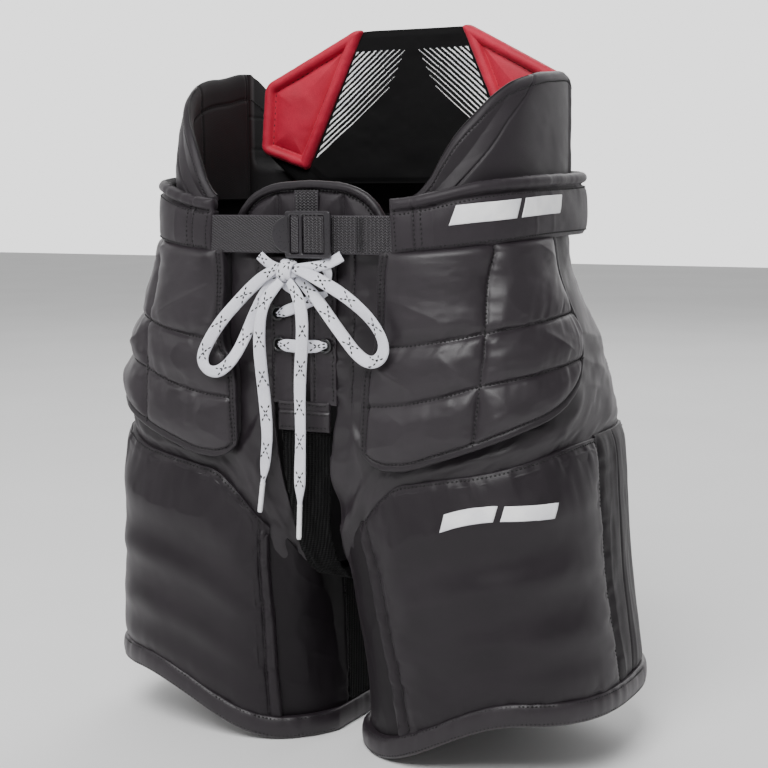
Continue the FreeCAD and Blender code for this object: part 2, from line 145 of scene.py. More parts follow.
# ------------------------------------------------------------------ noise
def vnoise(x, y, z=0.0, seed=0):
    x, y, z = np.broadcast_arrays(np.asarray(x, float), np.asarray(y, float), np.asarray(z, float))
    xi, yi, zi = np.floor(x).astype(np.int64), np.floor(y).astype(np.int64), np.floor(z).astype(np.int64)
    fx, fy, fz = x - xi, y - yi, z - zi
    fx, fy, fz = [f * f * f * (f * (f * 6 - 15) + 10) for f in (fx, fy, fz)]

    def h(i, j, k):
        n = (i * 73856093) ^ (j * 19349663) ^ (k * 83492791) ^ (seed * 26544357 + 917)
        n = (n ^ (n >> 13)) & 0xffffffff
        n = (n * 1274126177) & 0xffffffff
        n = (n ^ (n >> 15)) & 0xffffffff
        n = (n * 668265263) & 0xffffffff
        return ((n >> 8) & 0xffff) / 32767.5 - 1
    out = 0
    for a in (0, 1):
        for b in (0, 1):
            for c in (0, 1):
                w = (fx if a else 1 - fx) * (fy if b else 1 - fy) * (fz if c else 1 - fz)
                out = out + w * h(xi + a, yi + b, zi + c)
    return out


def fbm(x, y, z=0.0, seed=0, octaves=3):
    o, a, f = 0, 1.0, 1.0
    for k in range(octaves):
        o = o + a * vnoise(x * f, y * f, z * f, seed + 11 * k)
        a, f = a * 0.5, f * 2.03
    return o


def ridge(x, y, seed=0, sharp=2.0):
    """long soft creases: crests where the noise crosses zero"""
    return np.exp(-np.abs(vnoise(x, y, 0.5, seed)) * 3.0 * sharp)


# ------------------------------------------------------------------ mesh helpers
COL = bpy.context.scene.collection


def mesh_obj(name, verts, faces, mats, fm=None, smooth=True):
    """verts in mm"""
    me = bpy.data.meshes.new(name)
    v = np.asarray(verts, float).reshape(-1, 3) * MM
    me.from_pydata(v.tolist(), [], faces if isinstance(faces, list) else faces.tolist())
    for m in mats:
        me.materials.append(m)
    if fm is not None:
        me.polygons.foreach_set("material_index", np.asarray(fm, np.int32))
    me.polygons.foreach_set("use_smooth", [smooth] * len(me.polygons))
    me.validate()
    me.update()
    o = bpy.data.objects.new(name, me)
    COL.objects.link(o)
    return o


def grid_faces(nu, nv, off=0, flip=False):
    i, j = np.meshgrid(np.arange(nu - 1), np.arange(nv - 1), indexing="ij")
    a = off + i * nv + j
    q = np.stack([a, a + nv, a + nv + 1, a + 1], -1).reshape(-1, 4)
    return q[:, ::-1] if flip else q


def shell_mesh(name, F, B, mats, side=1, back_mat=0, edge_mat=0, closed_u=False, fm=None):
    """closed body between two grids"""
    nu, nv = F.shape[:2]
    flip = side < 0
    f1 = grid_faces(nu, nv, 0, flip)
    f2 = grid_faces(nu, nv, nu * nv, not flip)
    loop = [(i, 0) for i in range(nu)] + [(nu - 1, j) for j in range(1, nv)] + \
        [(i, nv - 1) for i in range(nu - 2, -1, -1)] + [(0, j) for j in range(nv - 2, 0, -1)]
    idx = np.array([i * nv + j for i, j in loop])
    nx = np.roll(idx, -1)
    w = np.stack([idx, idx + nu * nv, nx + nu * nv, nx], -1)
    if flip:
        w = w[:, ::-1]
    faces = np.concatenate([f1, f2, w])
    m = np.concatenate([np.zeros(len(f1), int) if fm is None else fm, np.full(len(f2), back_mat), np.full(len(w), edge_mat)])
    return mesh_obj(name, np.concatenate([F.reshape(-1, 3), B.reshape(-1, 3)]), faces, mats, m)


class Patch:
    def __init__(s, side, f0, f1, zlo, zhi, ns, nt, cu=0.5, cv=0.5, z0=200.0):
        t = np.linspace(0, 1, ns + 1)
        u = (t - cu * np.sin(2 * np.pi * t) / (2 * np.pi))[:, None]
        t = np.linspace(0, 1, nt + 1)
        v = (t - cv * np.sin(2 * np.pi * t) / (2 * np.pi))[None, :]
        T0 = np.broadcast_to(f0(ZT) if callable(f0) else float(f0), ZT.shape)
        T1 = np.broadcast_to(f1(ZT) if callable(f1) else float(f1), ZT.shape)
        F0, F1 = (lambda z: np.interp(z, ZT, T0)), (lambda z: np.interp(z, ZT, T1))
        L = zlo if callable(zlo) else (lambda th, x: zlo)
        H = zhi if callable(zhi) else (lambda th, x: zhi)
        z = np.full((ns + 1, nt + 1), z0)
        for _ in range(20):
            ph = phi_of(z, F0(z)) * (1 - u) + phi_of(z, F1(z)) * u
            x, y = polar(z, ph)
            th = theta_of(z, x, y, ph)
            lo, hi = L(th, x), H(th, x)
            z = 0.4 * z + 0.6 * (lo + (hi - lo) * v)
        s.side, s.z, s.ph, s.th, s.x = side, z, ph, th, x
        s.u, s.v = u + 0 * z, v + 0 * z
        P = np.stack([side * x, y, z], -1)
        s.P = P
        du = np.linalg.norm(np.diff(P, axis=0), axis=2)
        s.a = np.concatenate([np.zeros((1, nt + 1)), np.cumsum(du, 0)])
        dv = np.linalg.norm(np.diff(P, axis=1), axis=2)
        s.b = np.concatenate([np.zeros((ns + 1, 1)), np.cumsum(dv, 1)], 1)
        s.d0, s.d1 = s.a, s.a[-1:] - s.a           # mm from the first and last edge along u
        s.e0, s.e1 = s.b, s.b[:, -1:] - s.b        # mm from the low and high edge
        s.edge = np.minimum(np.minimum(s.d0, s.d1), np.minimum(s.e0, s.e1))

    def at(s, off, dz=0.0):
        x, y = polar(s.z, s.ph, off)
        return np.stack([s.side * x, y, s.z + dz], -1)

    def a_of_theta(s, f):
        """arc length, from the first edge, of the line th = f(z)"""
        out = np.zeros_like(s.a)
        for j in range(s.z.shape[1]):
            g = s.th[:, j] - f(s.z[:, j])
            out[:, j] = np.interp(0.0, g, s.a[:, j]) if g[-1] > g[0] else np.interp(0.0, g[::-1], s.a[::-1, j])
        return out


def sample(F, u, v):
    """bilinear on a grid, in index units"""
    nu, nv = F.shape[:2]
    u, v = np.clip(u, 0, nu - 1.001), np.clip(v, 0, nv - 1.001)
    i, j = np.floor(u).astype(int), np.floor(v).astype(int)
    a, b = (u - i)[:, None], (v - j)[:, None]
    return F[i, j] * (1 - a) * (1 - b) + F[i + 1, j] * a * (1 - b) + F[i, j + 1] * (1 - a) * b + F[i + 1, j + 1] * a * b


def normals(F, side=1):
    n = np.cross(np.gradient(F, axis=0), np.gradient(F, axis=1)) * side
    return n / np.maximum(np.linalg.norm(n, axis=2, keepdims=True), 1e-9)


# ------------------------------------------------------------------ stitches, tubes
STITCH = {}


def stitches(body, pts, nrm, L=3.0, gap=1.5, r=0.45, lift=0.1, key="dark", dbl=0.0, jitter=0.0):
    pts, nrm = np.asarray(pts, float), np.asarray(nrm, float)
    d = np.linalg.norm(np.diff(pts, axis=0), axis=1)
    s = np.concatenate([[0], np.cumsum(d)])
    n = max(1, int(s[-1] / (L + gap)))
    step = s[-1] / n
    vs, fs = STITCH.setdefault((body, key), ([], []))
    K = 6
    for k in range(n):
        c0 = k * step + gap / 2
        ss = np.linspace(c0, c0 + step - gap, 4)
        p = np.stack([np.interp(ss, s, pts[:, q]) for q in range(3)], 1)
        m = np.stack([np.interp(ss, s, nrm[:, q]) for q in range(3)], 1)
        m /= np.linalg.norm(m, axis=1, keepdims=True)
        t = p[-1] - p[0]
        t /= max(np.linalg.norm(t), 1e-9)
        b = np.cross(t, m)
        b /= np.maximum(np.linalg.norm(b, axis=1, keepdims=True), 1e-9)
        base = sum(len(a) for a in vs)
        rr = np.array([0.45, 1.0, 1.0, 0.45]) * r
        sink = np.array([-0.35, lift, lift, -0.35])
        ring_ = []
        for q in range(4):
            for w in range(K):
                a = 2 * math.pi * w / K
                ring_.append(p[q] + m[q] * (sink[q] + rr[q] * math.sin(a)) + b[q] * rr[q] * math.cos(a))
        vs.append(np.array(ring_))
        for q in range(3):
            for w in range(K):
                a0 = base + q * K + w
                a1 = base + q * K + (w + 1) % K
                fs.append((a0, a1, a1 + K, a0 + K))
        fs.append(tuple(base + w for w in range(K))[::-1])
        fs.append(tuple(base + 3 * K + w for w in range(K)))


def seam_on(F, uidx, vidx, side=1, off=0.0):
    N = normals(F, side)
    p, n = sample(F, uidx, vidx), sample(N, uidx, vidx)
    return p + n * off, n


def tube_mesh(name, pts, r, mats, K=10, up=None, squash=1.0, closed=False):
    """tube of radius r (number or list) along pts (mm)"""
    pts = np.asarray(pts, float)
    n = len(pts)
    r = np.broadcast_to(np.asarray(r, float), (n,))
    t = np.gradient(pts, axis=0)
    if closed:
        t = np.roll(pts, -1, 0) - np.roll(pts, 1, 0)
    t /= np.linalg.norm(t, axis=1, keepdims=True)
    if up is None:
        up = np.tile(np.array([0.0, -1.0, 0.0]), (n, 1))
    up = np.broadcast_to(np.asarray(up, float), (n, 3))
    b = np.cross(t, up)
    b /= np.maximum(np.linalg.norm(b, axis=1, keepdims=True), 1e-9)
    m = np.cross(b, t)
    V = []
    for k in range(K):
        a = 2 * math.pi * k / K
        V.append(pts + b * (r * math.cos(a))[:, None] + m * (r * squash * math.sin(a))[:, None])
    V = np.stack(V, 1).reshape(-1, 3)
    f = []
    m_ = n if closed else n - 1
    for i in range(m_):
        j = (i + 1) % n
        for k in range(K):
            f.append((i * K + k, j * K + k, j * K + (k + 1) % K, i * K + (k + 1) % K))
    if not closed:
        f.append(tuple(range(K)))
        f.append(tuple((n - 1) * K + k for k in range(K))[::-1])
    return mesh_obj(name, V, f, mats)


def ribbon(name, pts, nrm, wide, thick, mats, K=9, crown=0.25):
    """flat woven band: pts mm, nrm the face direction"""
    pts, nrm = np.asarray(pts, float), np.asarray(nrm, float)
    n = len(pts)
    t = np.gradient(pts, axis=0)
    t /= np.linalg.norm(t, axis=1, keepdims=True)
    b = np.cross(t, nrm)
    b /= np.maximum(np.linalg.norm(b, axis=1, keepdims=True), 1e-9)
    m = np.cross(b, t)
    wide = np.broadcast_to(np.asarray(wide, float), (n,))
    prof = []
    for q in np.linspace(-1, 1, K):
        prof.append((q, math.sqrt(max(0.0, 1 - abs(q) ** 4))))
    for q in np.linspace(1, -1, K)[1:-1]:
        prof.append((q, -math.sqrt(max(0.0, 1 - abs(q) ** 4))))
    V = np.stack([pts + b * (wide / 2 * q)[:, None] + m * (thick / 2 * h + crown * (1 - q * q)) for q, h in prof], 1)
    R = len(prof)
    f = []
    for i in range(n - 1):
        for k in range(R):
            f.append((i * R + k, (i + 1) * R + k, (i + 1) * R + (k + 1) % R, i * R + (k + 1) % R))
    f.append(tuple(range(R)))
    f.append(tuple((n - 1) * R + k for k in range(R))[::-1])
    return V.reshape(-1, 3), f, b, m, t


# ------------------------------------------------------------------ materials
def new_mat(name):
    m = bpy.data.materials.new(name)
    m.use_nodes = True
    nt = m.node_tree
    for n in list(nt.nodes):
        nt.nodes.remove(n)
    out = nt.nodes.new("ShaderNodeOutputMaterial")
    b = nt.nodes.new("ShaderNodeBsdfPrincipled")
    nt.links.new(b.outputs[0], out.inputs[0])
    tc = nt.nodes.new("ShaderNodeTexCoord")
    return m, nt, b, tc.outputs["Object"]


def mathn(nt, op, a, b=None, c=None):
    n = nt.nodes.new("ShaderNodeMath")
    n.operation = op
    for i, v in enumerate((a, b, c)):
        if v is None:
            continue
        if isinstance(v, (int, float)):
            n.inputs[i].default_value = v
        else:
            nt.links.new(v, n.inputs[i])
    return n.outputs[0]


def noise_node(nt, co, scale, detail=3.0, rough=0.5, vec=None):
    n = nt.nodes.new("ShaderNodeTexNoise")
    n.inputs["Scale"].default_value = scale
    n.inputs["Detail"].default_value = detail
    n.inputs["Roughness"].default_value = rough
    if vec is not None:
        mp = nt.nodes.new("ShaderNodeMapping")
        mp.inputs["Scale"].default_value = vec
        nt.links.new(co, mp.inputs["Vector"])
        co = mp.outputs[0]
    nt.links.new(co, n.inputs["Vector"])
    return n.outputs["Fac"]


def ramp(nt, fac, stops):
    r = nt.nodes.new("ShaderNodeValToRGB")
    el = r.color_ramp.elements
    while len(el) < len(stops):
        el.new(0.5)
    for e, (p, c) in zip(el, stops):
        e.position = p
        e.color = (*c, 1)
    nt.links.new(fac, r.inputs[0])
    return r.outputs[0]


def bump(nt, h, strength, dist, prev=None):
    b = nt.nodes.new("ShaderNodeBump")
    b.inputs["Strength"].default_value = strength
    b.inputs["Distance"].default_value = dist
    nt.links.new(h, b.inputs["Height"])
    if prev is not None:
        nt.links.new(prev, b.inputs["Normal"])
    return b.outputs[0]


def maprange(nt, v, a, b, c, d):
    n = nt.nodes.new("ShaderNodeMapRange")
    for i, q in zip((1, 2, 3, 4), (a, b, c, d)):
        n.inputs[i].default_value = q
    nt.links.new(v, n.inputs[0])
    return n.outputs[0]


def sines(nt, co, px, pz, wx=1.0, wy=1.0):
    """woven grid: product of sines, px and pz the thread pitch in metres"""
    s = nt.nodes.new("ShaderNodeSeparateXYZ")
    nt.links.new(co, s.inputs[0])
    xy = mathn(nt, "ADD", mathn(nt, "MULTIPLY", s.outputs[0], wx), mathn(nt, "MULTIPLY", s.outputs[1], wy))
    a = mathn(nt, "SINE", mathn(nt, "MULTIPLY", xy, 2 * math.pi / px))
    b = mathn(nt, "SINE", mathn(nt, "MULTIPLY", s.outputs[2], 2 * math.pi / pz))
    return mathn(nt, "MULTIPLY", a, b)


def fabric(name, dark, light, rough=(0.45, 0.6), sheen=0.25, weave=0.0009, wstr=0.12, grain=0.1, spec=0.5, tint=(1, 0.95, 1)):
    m, nt, b, co = new_mat(name)
    n1 = noise_node(nt, co, 35, 4, 0.55)
    n2 = noise_node(nt, co, 1400, 2, 0.6)
    mix = mathn(nt, "ADD", mathn(nt, "MULTIPLY", n1, 0.6), mathn(nt, "MULTIPLY", n2, 0.4))
    c = ramp(nt, mix, [(0.36, dark), (0.64, light)])
    nt.links.new(c, b.inputs["Base Color"])
    nt.links.new(maprange(nt, n1, 0.3, 0.7, rough[0], rough[1]), b.inputs["Roughness"])
    b.inputs["Sheen Weight"].default_value = sheen
    b.inputs["Sheen Roughness"].default_value = 0.45
    b.inputs["Sheen Tint"].default_value = (*tint, 1)
    b.inputs["Specular IOR Level"].default_value = spec
    w = sines(nt, co, weave, weave)
    nb = bump(nt, w, wstr, 0.0002)
    nb = bump(nt, n2, grain, 0.0003, nb)
    nt.links.new(nb, b.inputs["Normal"])
    return m


def knit(name, base, light):
    m, nt, b, co = new_mat(name)
    s = nt.nodes.new("ShaderNodeSeparateXYZ")
    nt.links.new(co, s.inputs[0])
    xy = mathn(nt, "ADD", s.outputs[0], s.outputs[1])
    rib = mathn(nt, "SINE", mathn(nt, "MULTIPLY", xy, 2 * math.pi / 0.0026))
    row = mathn(nt, "SINE", mathn(nt, "MULTIPLY", s.outputs[2], 2 * math.pi / 0.0015))
    h = mathn(nt, "ADD", rib, mathn(nt, "MULTIPLY", row, 0.5))
    n2 = noise_node(nt, co, 900, 2, 0.6)
    f = mathn(nt, "ADD", mathn(nt, "MULTIPLY", h, 0.22), n2)
    nt.links.new(ramp(nt, f, [(0.35, base), (0.85, light)]), b.inputs["Base Color"])
    b.inputs["Roughness"].default_value = 0.9
    b.inputs["Sheen Weight"].default_value = 0.03
    b.inputs["Specular IOR Level"].default_value = 0.14
    nt.links.new(bump(nt, h, 0.7, 0.0005), b.inputs["Normal"])
    return m


def webbing_mat(name):
    m, nt, b, co = new_mat(name)
    g = nt.nodes.new("ShaderNodeNewGeometry")
    n2 = noise_node(nt, co, 1500, 2, 0.6)
    n3 = noise_node(nt, co, 260, 3, 0.6)
    # convex thread crests (Pointiness) are painted lighter and the hollows darker: painted highlight and shade on the
    # weave
    p = maprange(nt, g.outputs["Pointiness"], 0.47, 0.53, 0.0, 1.0)
    f = mathn(nt, "ADD", mathn(nt, "MULTIPLY", n2, 0.35), mathn(nt, "MULTIPLY", n3, 0.15))
    f = mathn(nt, "ADD", f, mathn(nt, "MULTIPLY", p, 0.5))
    nt.links.new(ramp(nt, f, [(0.32, (0.0030, 0.0026, 0.0031)), (0.75, (0.034, 0.029, 0.035))]), b.inputs["Base Color"])
    b.inputs["Roughness"].default_value = 0.5
    b.inputs["Specular IOR Level"].default_value = 0.5
    nt.links.new(bump(nt, n2, 0.3, 0.0003), b.inputs["Normal"])
    return m


def plastic(name, base, rough, coat=0.0):
    m, nt, b, co = new_mat(name)
    n = noise_node(nt, co, 700, 3, 0.6)
    n1 = noise_node(nt, co, 60, 3, 0.5)
    nt.links.new(ramp(nt, n1, [(0.3, base), (0.7, tuple(min(1, c * 1.35) for c in base))]), b.inputs["Base Color"])
    nt.links.new(maprange(nt, n, 0.3, 0.7, rough - 0.05, rough + 0.08), b.inputs["Roughness"])
    b.inputs["Coat Weight"].default_value = coat
    b.inputs["Coat Roughness"].default_value = 0.25
    nt.links.new(bump(nt, n, 0.06, 0.0002), b.inputs["Normal"])
    return m


NYLON = fabric("nylon", (0.0125, 0.0090, 0.0120), (0.0190, 0.0145, 0.0185), rough=(0.40, 0.49), sheen=0.04, spec=0.5, tint=(1, 0.85, 0.97))
# the leg and side nylons are darker copies of the shell nylon, with lower specular: painted shade on the legs and on
# the side and inner panels
NYLON_LEG_PAINTED_SHADE = fabric("nylon_leg_painted_shade", (0.0098, 0.0071, 0.0096), (0.0150, 0.0114, 0.0146), rough=(0.40, 0.50), sheen=0.03, spec=0.33, tint=(1, 0.85, 0.97))
NYLON_SIDE_PAINTED_SHADE = fabric("nylon_side_painted_shade", (0.0060, 0.0044, 0.0058), (0.0096, 0.0072, 0.0094), rough=(0.46, 0.56), sheen=0.02, spec=0.24, tint=(1, 0.85, 0.97))
NYLON2 = fabric("nylon_trunk", (0.0105, 0.0078, 0.0102), (0.0165, 0.0125, 0.0160), rough=(0.40, 0.49), sheen=0.04, spec=0.5, tint=(1, 0.85, 0.97))
BIND = fabric("binding", (0.0105, 0.0078, 0.0102), (0.0160, 0.0125, 0.0158), rough=(0.4, 0.52), sheen=0.05, spec=0.4)
BELTM = fabric("belt_nylon", (0.0150, 0.0112, 0.0146), (0.0215, 0.0168, 0.0212), rough=(0.48, 0.58), sheen=0.05, weave=0.0011, wstr=0.2, spec=0.36)
WINGM = fabric("wing_nylon", (0.0135, 0.0102, 0.0132), (0.0200, 0.0158, 0.0198), rough=(0.5, 0.6), sheen=0.06, weave=0.0012, wstr=0.2, spec=0.36)
LINING = fabric("lining", (0.0075, 0.0070, 0.0076), (0.0150, 0.0138, 0.0150), rough=(0.72, 0.86), sheen=0.04, weave=0.0018, wstr=0.4, spec=0.3)
NEO = fabric("neoprene", (0.0012, 0.0012, 0.0013), (0.0036, 0.0034, 0.0038), rough=(0.8, 0.92), sheen=0.03, weave=0.0013, wstr=0.3, grain=0.3, spec=0.22)
RED = fabric("red_knit", (0.42, 0.0035, 0.026), (0.60, 0.009, 0.046), rough=(0.55, 0.7), sheen=0.12, weave=0.0011, wstr=0.25, tint=(1, 0.75, 0.78))
KNIT = knit("stretch_knit", (0.0009, 0.0009, 0.0010), (0.0036, 0.0034, 0.0038))
THREAD = plastic("thread", (0.0022, 0.0021, 0.0024), 0.6)
THREADL = plastic("thread_grey", (0.016, 0.015, 0.017), 0.55)
WEB = webbing_mat("webbing_weave")
BUCK = plastic("buckle_acetal", (0.017, 0.015, 0.018), 0.30, 0.25)
PRINT = plastic("white_print", (0.78, 0.78, 0.82), 0.55)
LACE = fabric("lace_weave", (0.72, 0.72, 0.80), (0.90, 0.90, 0.97), rough=(0.7, 0.85), sheen=0.3, weave=0.0011, wstr=0.45, tint=(1, 1, 1))
FOAM = plastic("foam", (0.012, 0.012, 0.013), 0.9)
PEM = plastic("pe_sheet", (0.012, 0.012, 0.013), 0.45)
EYE = plastic("eyelet_enamel", (0.015, 0.015, 0.016), 0.3, 0.3)
AGL = plastic("aglet_film", (0.8, 0.8, 0.85), 0.25, 0.3)

# ------------------------------------------------------------------ lines on patches
def rng(n, lo, hi):
    hi = n if hi is None else (n + hi if hi < 0 else hi)
    return np.arange(lo, hi)


def zero(c):
    k = np.arange(len(c))
    return np.interp(0.0, c, k) if c[-1] > c[0] else np.interp(0.0, c[::-1], k[::-1])


def line_theta(p, f, lo=0, hi=None):
    """(u, v) index path of th = f(z)"""
    js = rng(p.z.shape[1], lo, hi)
    return np.array([zero(p.th[:, j] - f(p.z[:, j])) for j in js], float), js.astype(float)


def line_z(p, g, lo=0, hi=None):
    """(u, v) index path of z = g(th)"""
    is_ = rng(p.z.shape[0], lo, hi)
    return is_.astype(float), np.array([zero(p.z[i] - g(p.th[i])) for i in is_], float)


def line_d(p, field, val, axis=0, lo=0, hi=None):
    """index path where an edge-distance field has a value"""
    if axis == 0:
        js = rng(p.z.shape[1], lo, hi)
        return np.array([zero(field[:, j] - val) for j in js], float), js.astype(float)
    is_ = rng(p.z.shape[0], lo, hi)
    return is_.astype(float), np.array([zero(field[i] - val) for i in is_], float)


def sew(body, F, path, side, **kw):
    p, n = seam_on(F, path[0], path[1], side)
    stitches(body, p, n, **kw)


SIDES = (("left", 1), ("right", -1))
ST1 = dict(L=1.75, gap=1.05, r=0.5, lift=0.22)
INNER = {1: ([22, 90, 165], [-106, -108, -107]), -1: ([22, 90, 165], [-124, -121, -113])}
HIPX = np.array([(-99.5, 234), (-98, 225), (-96, 214.5), (-93.5, 207.5), (-91, 205.8), (-87.5, 208.4), (-83, 212.6), (-69, 222), (-50, 232.5), (-30, 242.5),
                 (-20, 250.5), (-12, 261), (-7, 275), (-3, 293)], float)


def hip_low(th):
    return pchip(HIPX[:, 0], HIPX[:, 1], th)


def groove(d, w=1.5):
    return np.exp(-(d / w) ** 2)


def smin(a, b, k=6.0):
    h = np.clip(0.5 + 0.5 * (b - a) / k, 0, 1)
    return b * (1 - h) + a * h - k * h * (1 - h)


def xline(z, xs, back=False):
    """angle where the ring passes x = xs(z), at any height"""
    z = np.asarray(z, float)
    lo, hi = np.full_like(z, -179.5), np.full_like(z, -90.0)
    for _ in range(36):
        m = (lo + hi) / 2
        less = ring(z, m)[0] < xs
        lo, hi = np.where(less, m, lo), np.where(less, hi, m)
    return -lo if back else lo


for nm, sd in SIDES:
    leg, trunk = "leg_" + nm, "trunk"
    fin = lambda z, sd=sd: np.interp(z, *INNER[sd])
    sdn = 0 if sd > 0 else 40

    # -------- trunk fabric, from the fly round the outside to the back, down under the thigh block
    p = Patch(sd, lambda z: xline(z, np.interp(z, [115, 150, 185, 230, 345], [15, 17, 21, 23.5, 23.5])),
              lambda z: xline(z, np.interp(z, [115, 165, 200], [15, 14, 0.02]), True),
              lambda th, x: leg_top(th) - 14, 366, 300, 170, 0.3, 0.2)
    zc = p.z - leg_top(p.th)
    crease = ease(zc / 10) * ease((hip_low(p.th) + 6 - p.z) / 16) * (p.th < 30)
    L = p.a
    h = -0.6 + 1.0 * fbm(L / 26, p.z / 30, seed=3 + sdn) * ease(p.d0 / 14)
    h = h + crease * (0.45 + 0.55 * ease((-14 - p.th) / 22)) * (1.9 + 1.5 * vnoise(L / 34, (p.z - leg_top(p.th)) / 12, seed=5 + sdn)
                                                               + 1.5 * ridge(L / 44, (p.z + 0.2 * L) / 17, 8 + sdn, 1.3) - 0.4)
    # gathers along the fly
    gz = ease((p.z - 236) / 12) * ease((372 - p.z) / 10)
    h = h + gz * 1.9 * np.exp(-p.d0 / 9) * vnoise(p.z / 4.6, p.d0 / 20, seed=9 + sdn) * ease((p.d0 + 1) / 3) * (0.6 + 0.9 * np.exp(-((p.z - 262) / 18) ** 2))
    h = h + gz * 1.2 * np.exp(-((p.d0 - 15) / 9) ** 2) * vnoise(p.z / 7.5, p.d0 / 26, seed=10 + sdn)
    # loose folds below the hip pad, near the crotch
    inn = ease((235 - p.z) / 25) * np.exp(-p.d0 / 34)
    h = h + inn * (2.6 * ridge((L + p.z * 0.7) / 24, (p.z - L) / 60, 12 + sdn) + 1.5 * vnoise(L / 14, p.z / 22, seed=14 + sdn))
    seamx = 12.5
    h = h - 1.1 * groove(p.d0 - seamx, 1.2) * ease((p.z - 236) / 10)
    back_seam = p.a_of_theta(lambda z: np.full_like(z, 27.0))
    h = h - 1.3 * groove(L - back_seam, 1.3)
    h = h + 0.5 * np.exp(-np.abs(L - back_seam) / 7) * vnoise(p.z / 5.0, 0.3, seed=21 + sdn)
    seat = ease((p.th - 30) / 12)
    h = h + seat * (1.2 * fbm(L / 34, p.z / 46, seed=31 + sdn) + 1.4 * ridge(L / 40, p.z / 24, 33 + sdn))
    under = ease((p.th - (np.interp(p.z, [205, 219, 245, 287, 343], [-97, -96, -93, -89, -84]) + 2)) / 2) * ease((-5 - p.th) / 2) * ease((p.z - hip_low(p.th) - 6) / 5)
    h = h * (1 - under) - 1.4 * under
    h = np.where(zc < 2, np.minimum(h, 0.2 + 0.06 * zc), h)
    F, B = p.at(h), p.at(h * 0 - 3.4)
    if sd > 0:
        BACK_EDGE = np.array(B[-1])
    o = shell_mesh("trunk_fabric_" + nm, F, B, [NYLON2, LINING], sd, 1, 0)
    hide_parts("front_shell_" + nm, "seat_shell_" + nm, "hip_crease_" + nm)
    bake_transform(o)
    j0 = int(np.argmax(p.z[0] > 240))
    sew(trunk, F, line_d(p, p.d0, seamx, 0, j0), sd, **ST1)
    j0 = int(np.argmax(p.z[150] > 250))
    sew(trunk, F, line_theta(p, lambda z: np.full_like(z, 27.6), j0), sd, **ST1)

    # -------- hip pad
    hin = lambda z: np.interp(z, [205, 219, 245, 287, 343], [-97, -96, -93, -89, -84])
    p = Patch(sd, hin, -3.2, lambda th, x: hip_low(th), lambda th, x: np.interp(th, [-90, -78, -43, 4], [345.4, 346.4, 351.4, 355.4]), 210, 200, 0.45, 0.3, 280)
    p.edge = np.minimum(np.minimum(p.d0, p.d1), p.e0)
    mid = lambda z: np.interp(z, [205, 223, 263, 296, 346], [-74, -69, -61, -53.5, -39.5])
    s1 = lambda th: np.interp(th, [-90, -53, -3], [284.5, 296, 305])
    s2 = lambda th: np.interp(th, [-96, -61, -11, -3], [244.5, 263, 275, 277])
    dm = np.abs(p.a - p.a_of_theta(mid))
    d1 = np.abs(p.z - s1(p.th)) * 0.96
    d2 = np.abs(p.z - s2(p.th)) * 0.96
    bind = 5.0
    de = np.maximum(p.edge - bind, 0)
    dmin = smin(smin(dm, d1, 5), smin(d2, de + 1.0, 5), 5)
    dmin = np.maximum(dmin, 0)
    puff = 4.3 * (1 - np.exp(-dmin / 7.0))
    wr = 0.45 * fbm(p.a / 24, p.z / 15, seed=41 + sdn) * ease(dmin / 6)
    pk = 0.0
    for dd, ll, sq in ((dm, p.z, 43), (d1, p.a, 44), (d2, p.a, 45)):
        pk = pk + 0.8 * np.exp(-dd / 8.5) * (1 - np.exp(-dd / 1.0)) * vnoise(ll / 5.6, dd / 40 + sq, seed=sq + sdn) \
            + 0.5 * np.exp(-dd / 15) * (1 - np.exp(-dd / 2.0)) * vnoise(ll / 13.0, dd / 60 + sq, seed=sq + 5 + sdn)
    diag = 1.3 * ridge((p.a * 0.45 + p.z) / 24, (p.a - p.z * 0.6) / 80, 47 + sdn, 1.2) * ease(dmin / 12)
    h = 8.7 + puff + wr + pk + diag - 0.8 * np.maximum(groove(dm, 1.3), np.maximum(groove(d1, 1.3), groove(d2, 1.3)))
    h = np.maximum(h, 7.9)
    inb = p.edge < bind
    rim = 8.0 + 1.1 * np.sqrt(np.clip(1 - (1 - np.clip(p.edge / 1.7, 0, 1)) ** 2, 0, 1)) + 0.25 * vnoise(p.a / 5, p.z / 5, seed=48)
    h = np.where(inb, rim, h)
    h = h - 0.7 * groove(p.edge - bind, 1.0)
    q = np.exp(-p.e1 / 2.2)
    h = h * (1 - q) + 8.0 * q
    bottomness = ease(1 - p.e0 / 11.5)
    hb = 0.6 + 7.2 * bottomness
    F, B = p.at(h), p.at(hb)
    topm = np.zeros((p.z.shape[0] - 1) * (p.z.shape[1] - 1), int)
    o = shell_mesh("hip_pad_" + nm, F, B, [NYLON, BIND], sd, 1, 1,
                   fm=(p.edge[:-1, :-1] < bind).astype(int).ravel())
    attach(o, trunk)
    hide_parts("hip_cover_" + nm)
    sew(trunk, F, line_theta(p, mid, 6, -6), sd, **ST1)
    sew(trunk, F, line_z(p, s1, 8, -8), sd, **ST1)
    sew(trunk, F, line_z(p, s2, 8, -8), sd, **ST1)
    for fld, ax in ((p.d0, 0), (p.d1, 0), (p.e0, 1)):
        n_ = p.z.shape[1] if ax == 0 else p.z.shape[0]
        sew(trunk, F, line_d(p, fld, bind, ax, int(n_ * 0.035), int(n_ * (0.99 if ax == 0 else 0.965))), sd, **ST1)
    sew(trunk, F, line_d(p, p.d0, 2.4, 0, 10, -4), sd, **ST1)

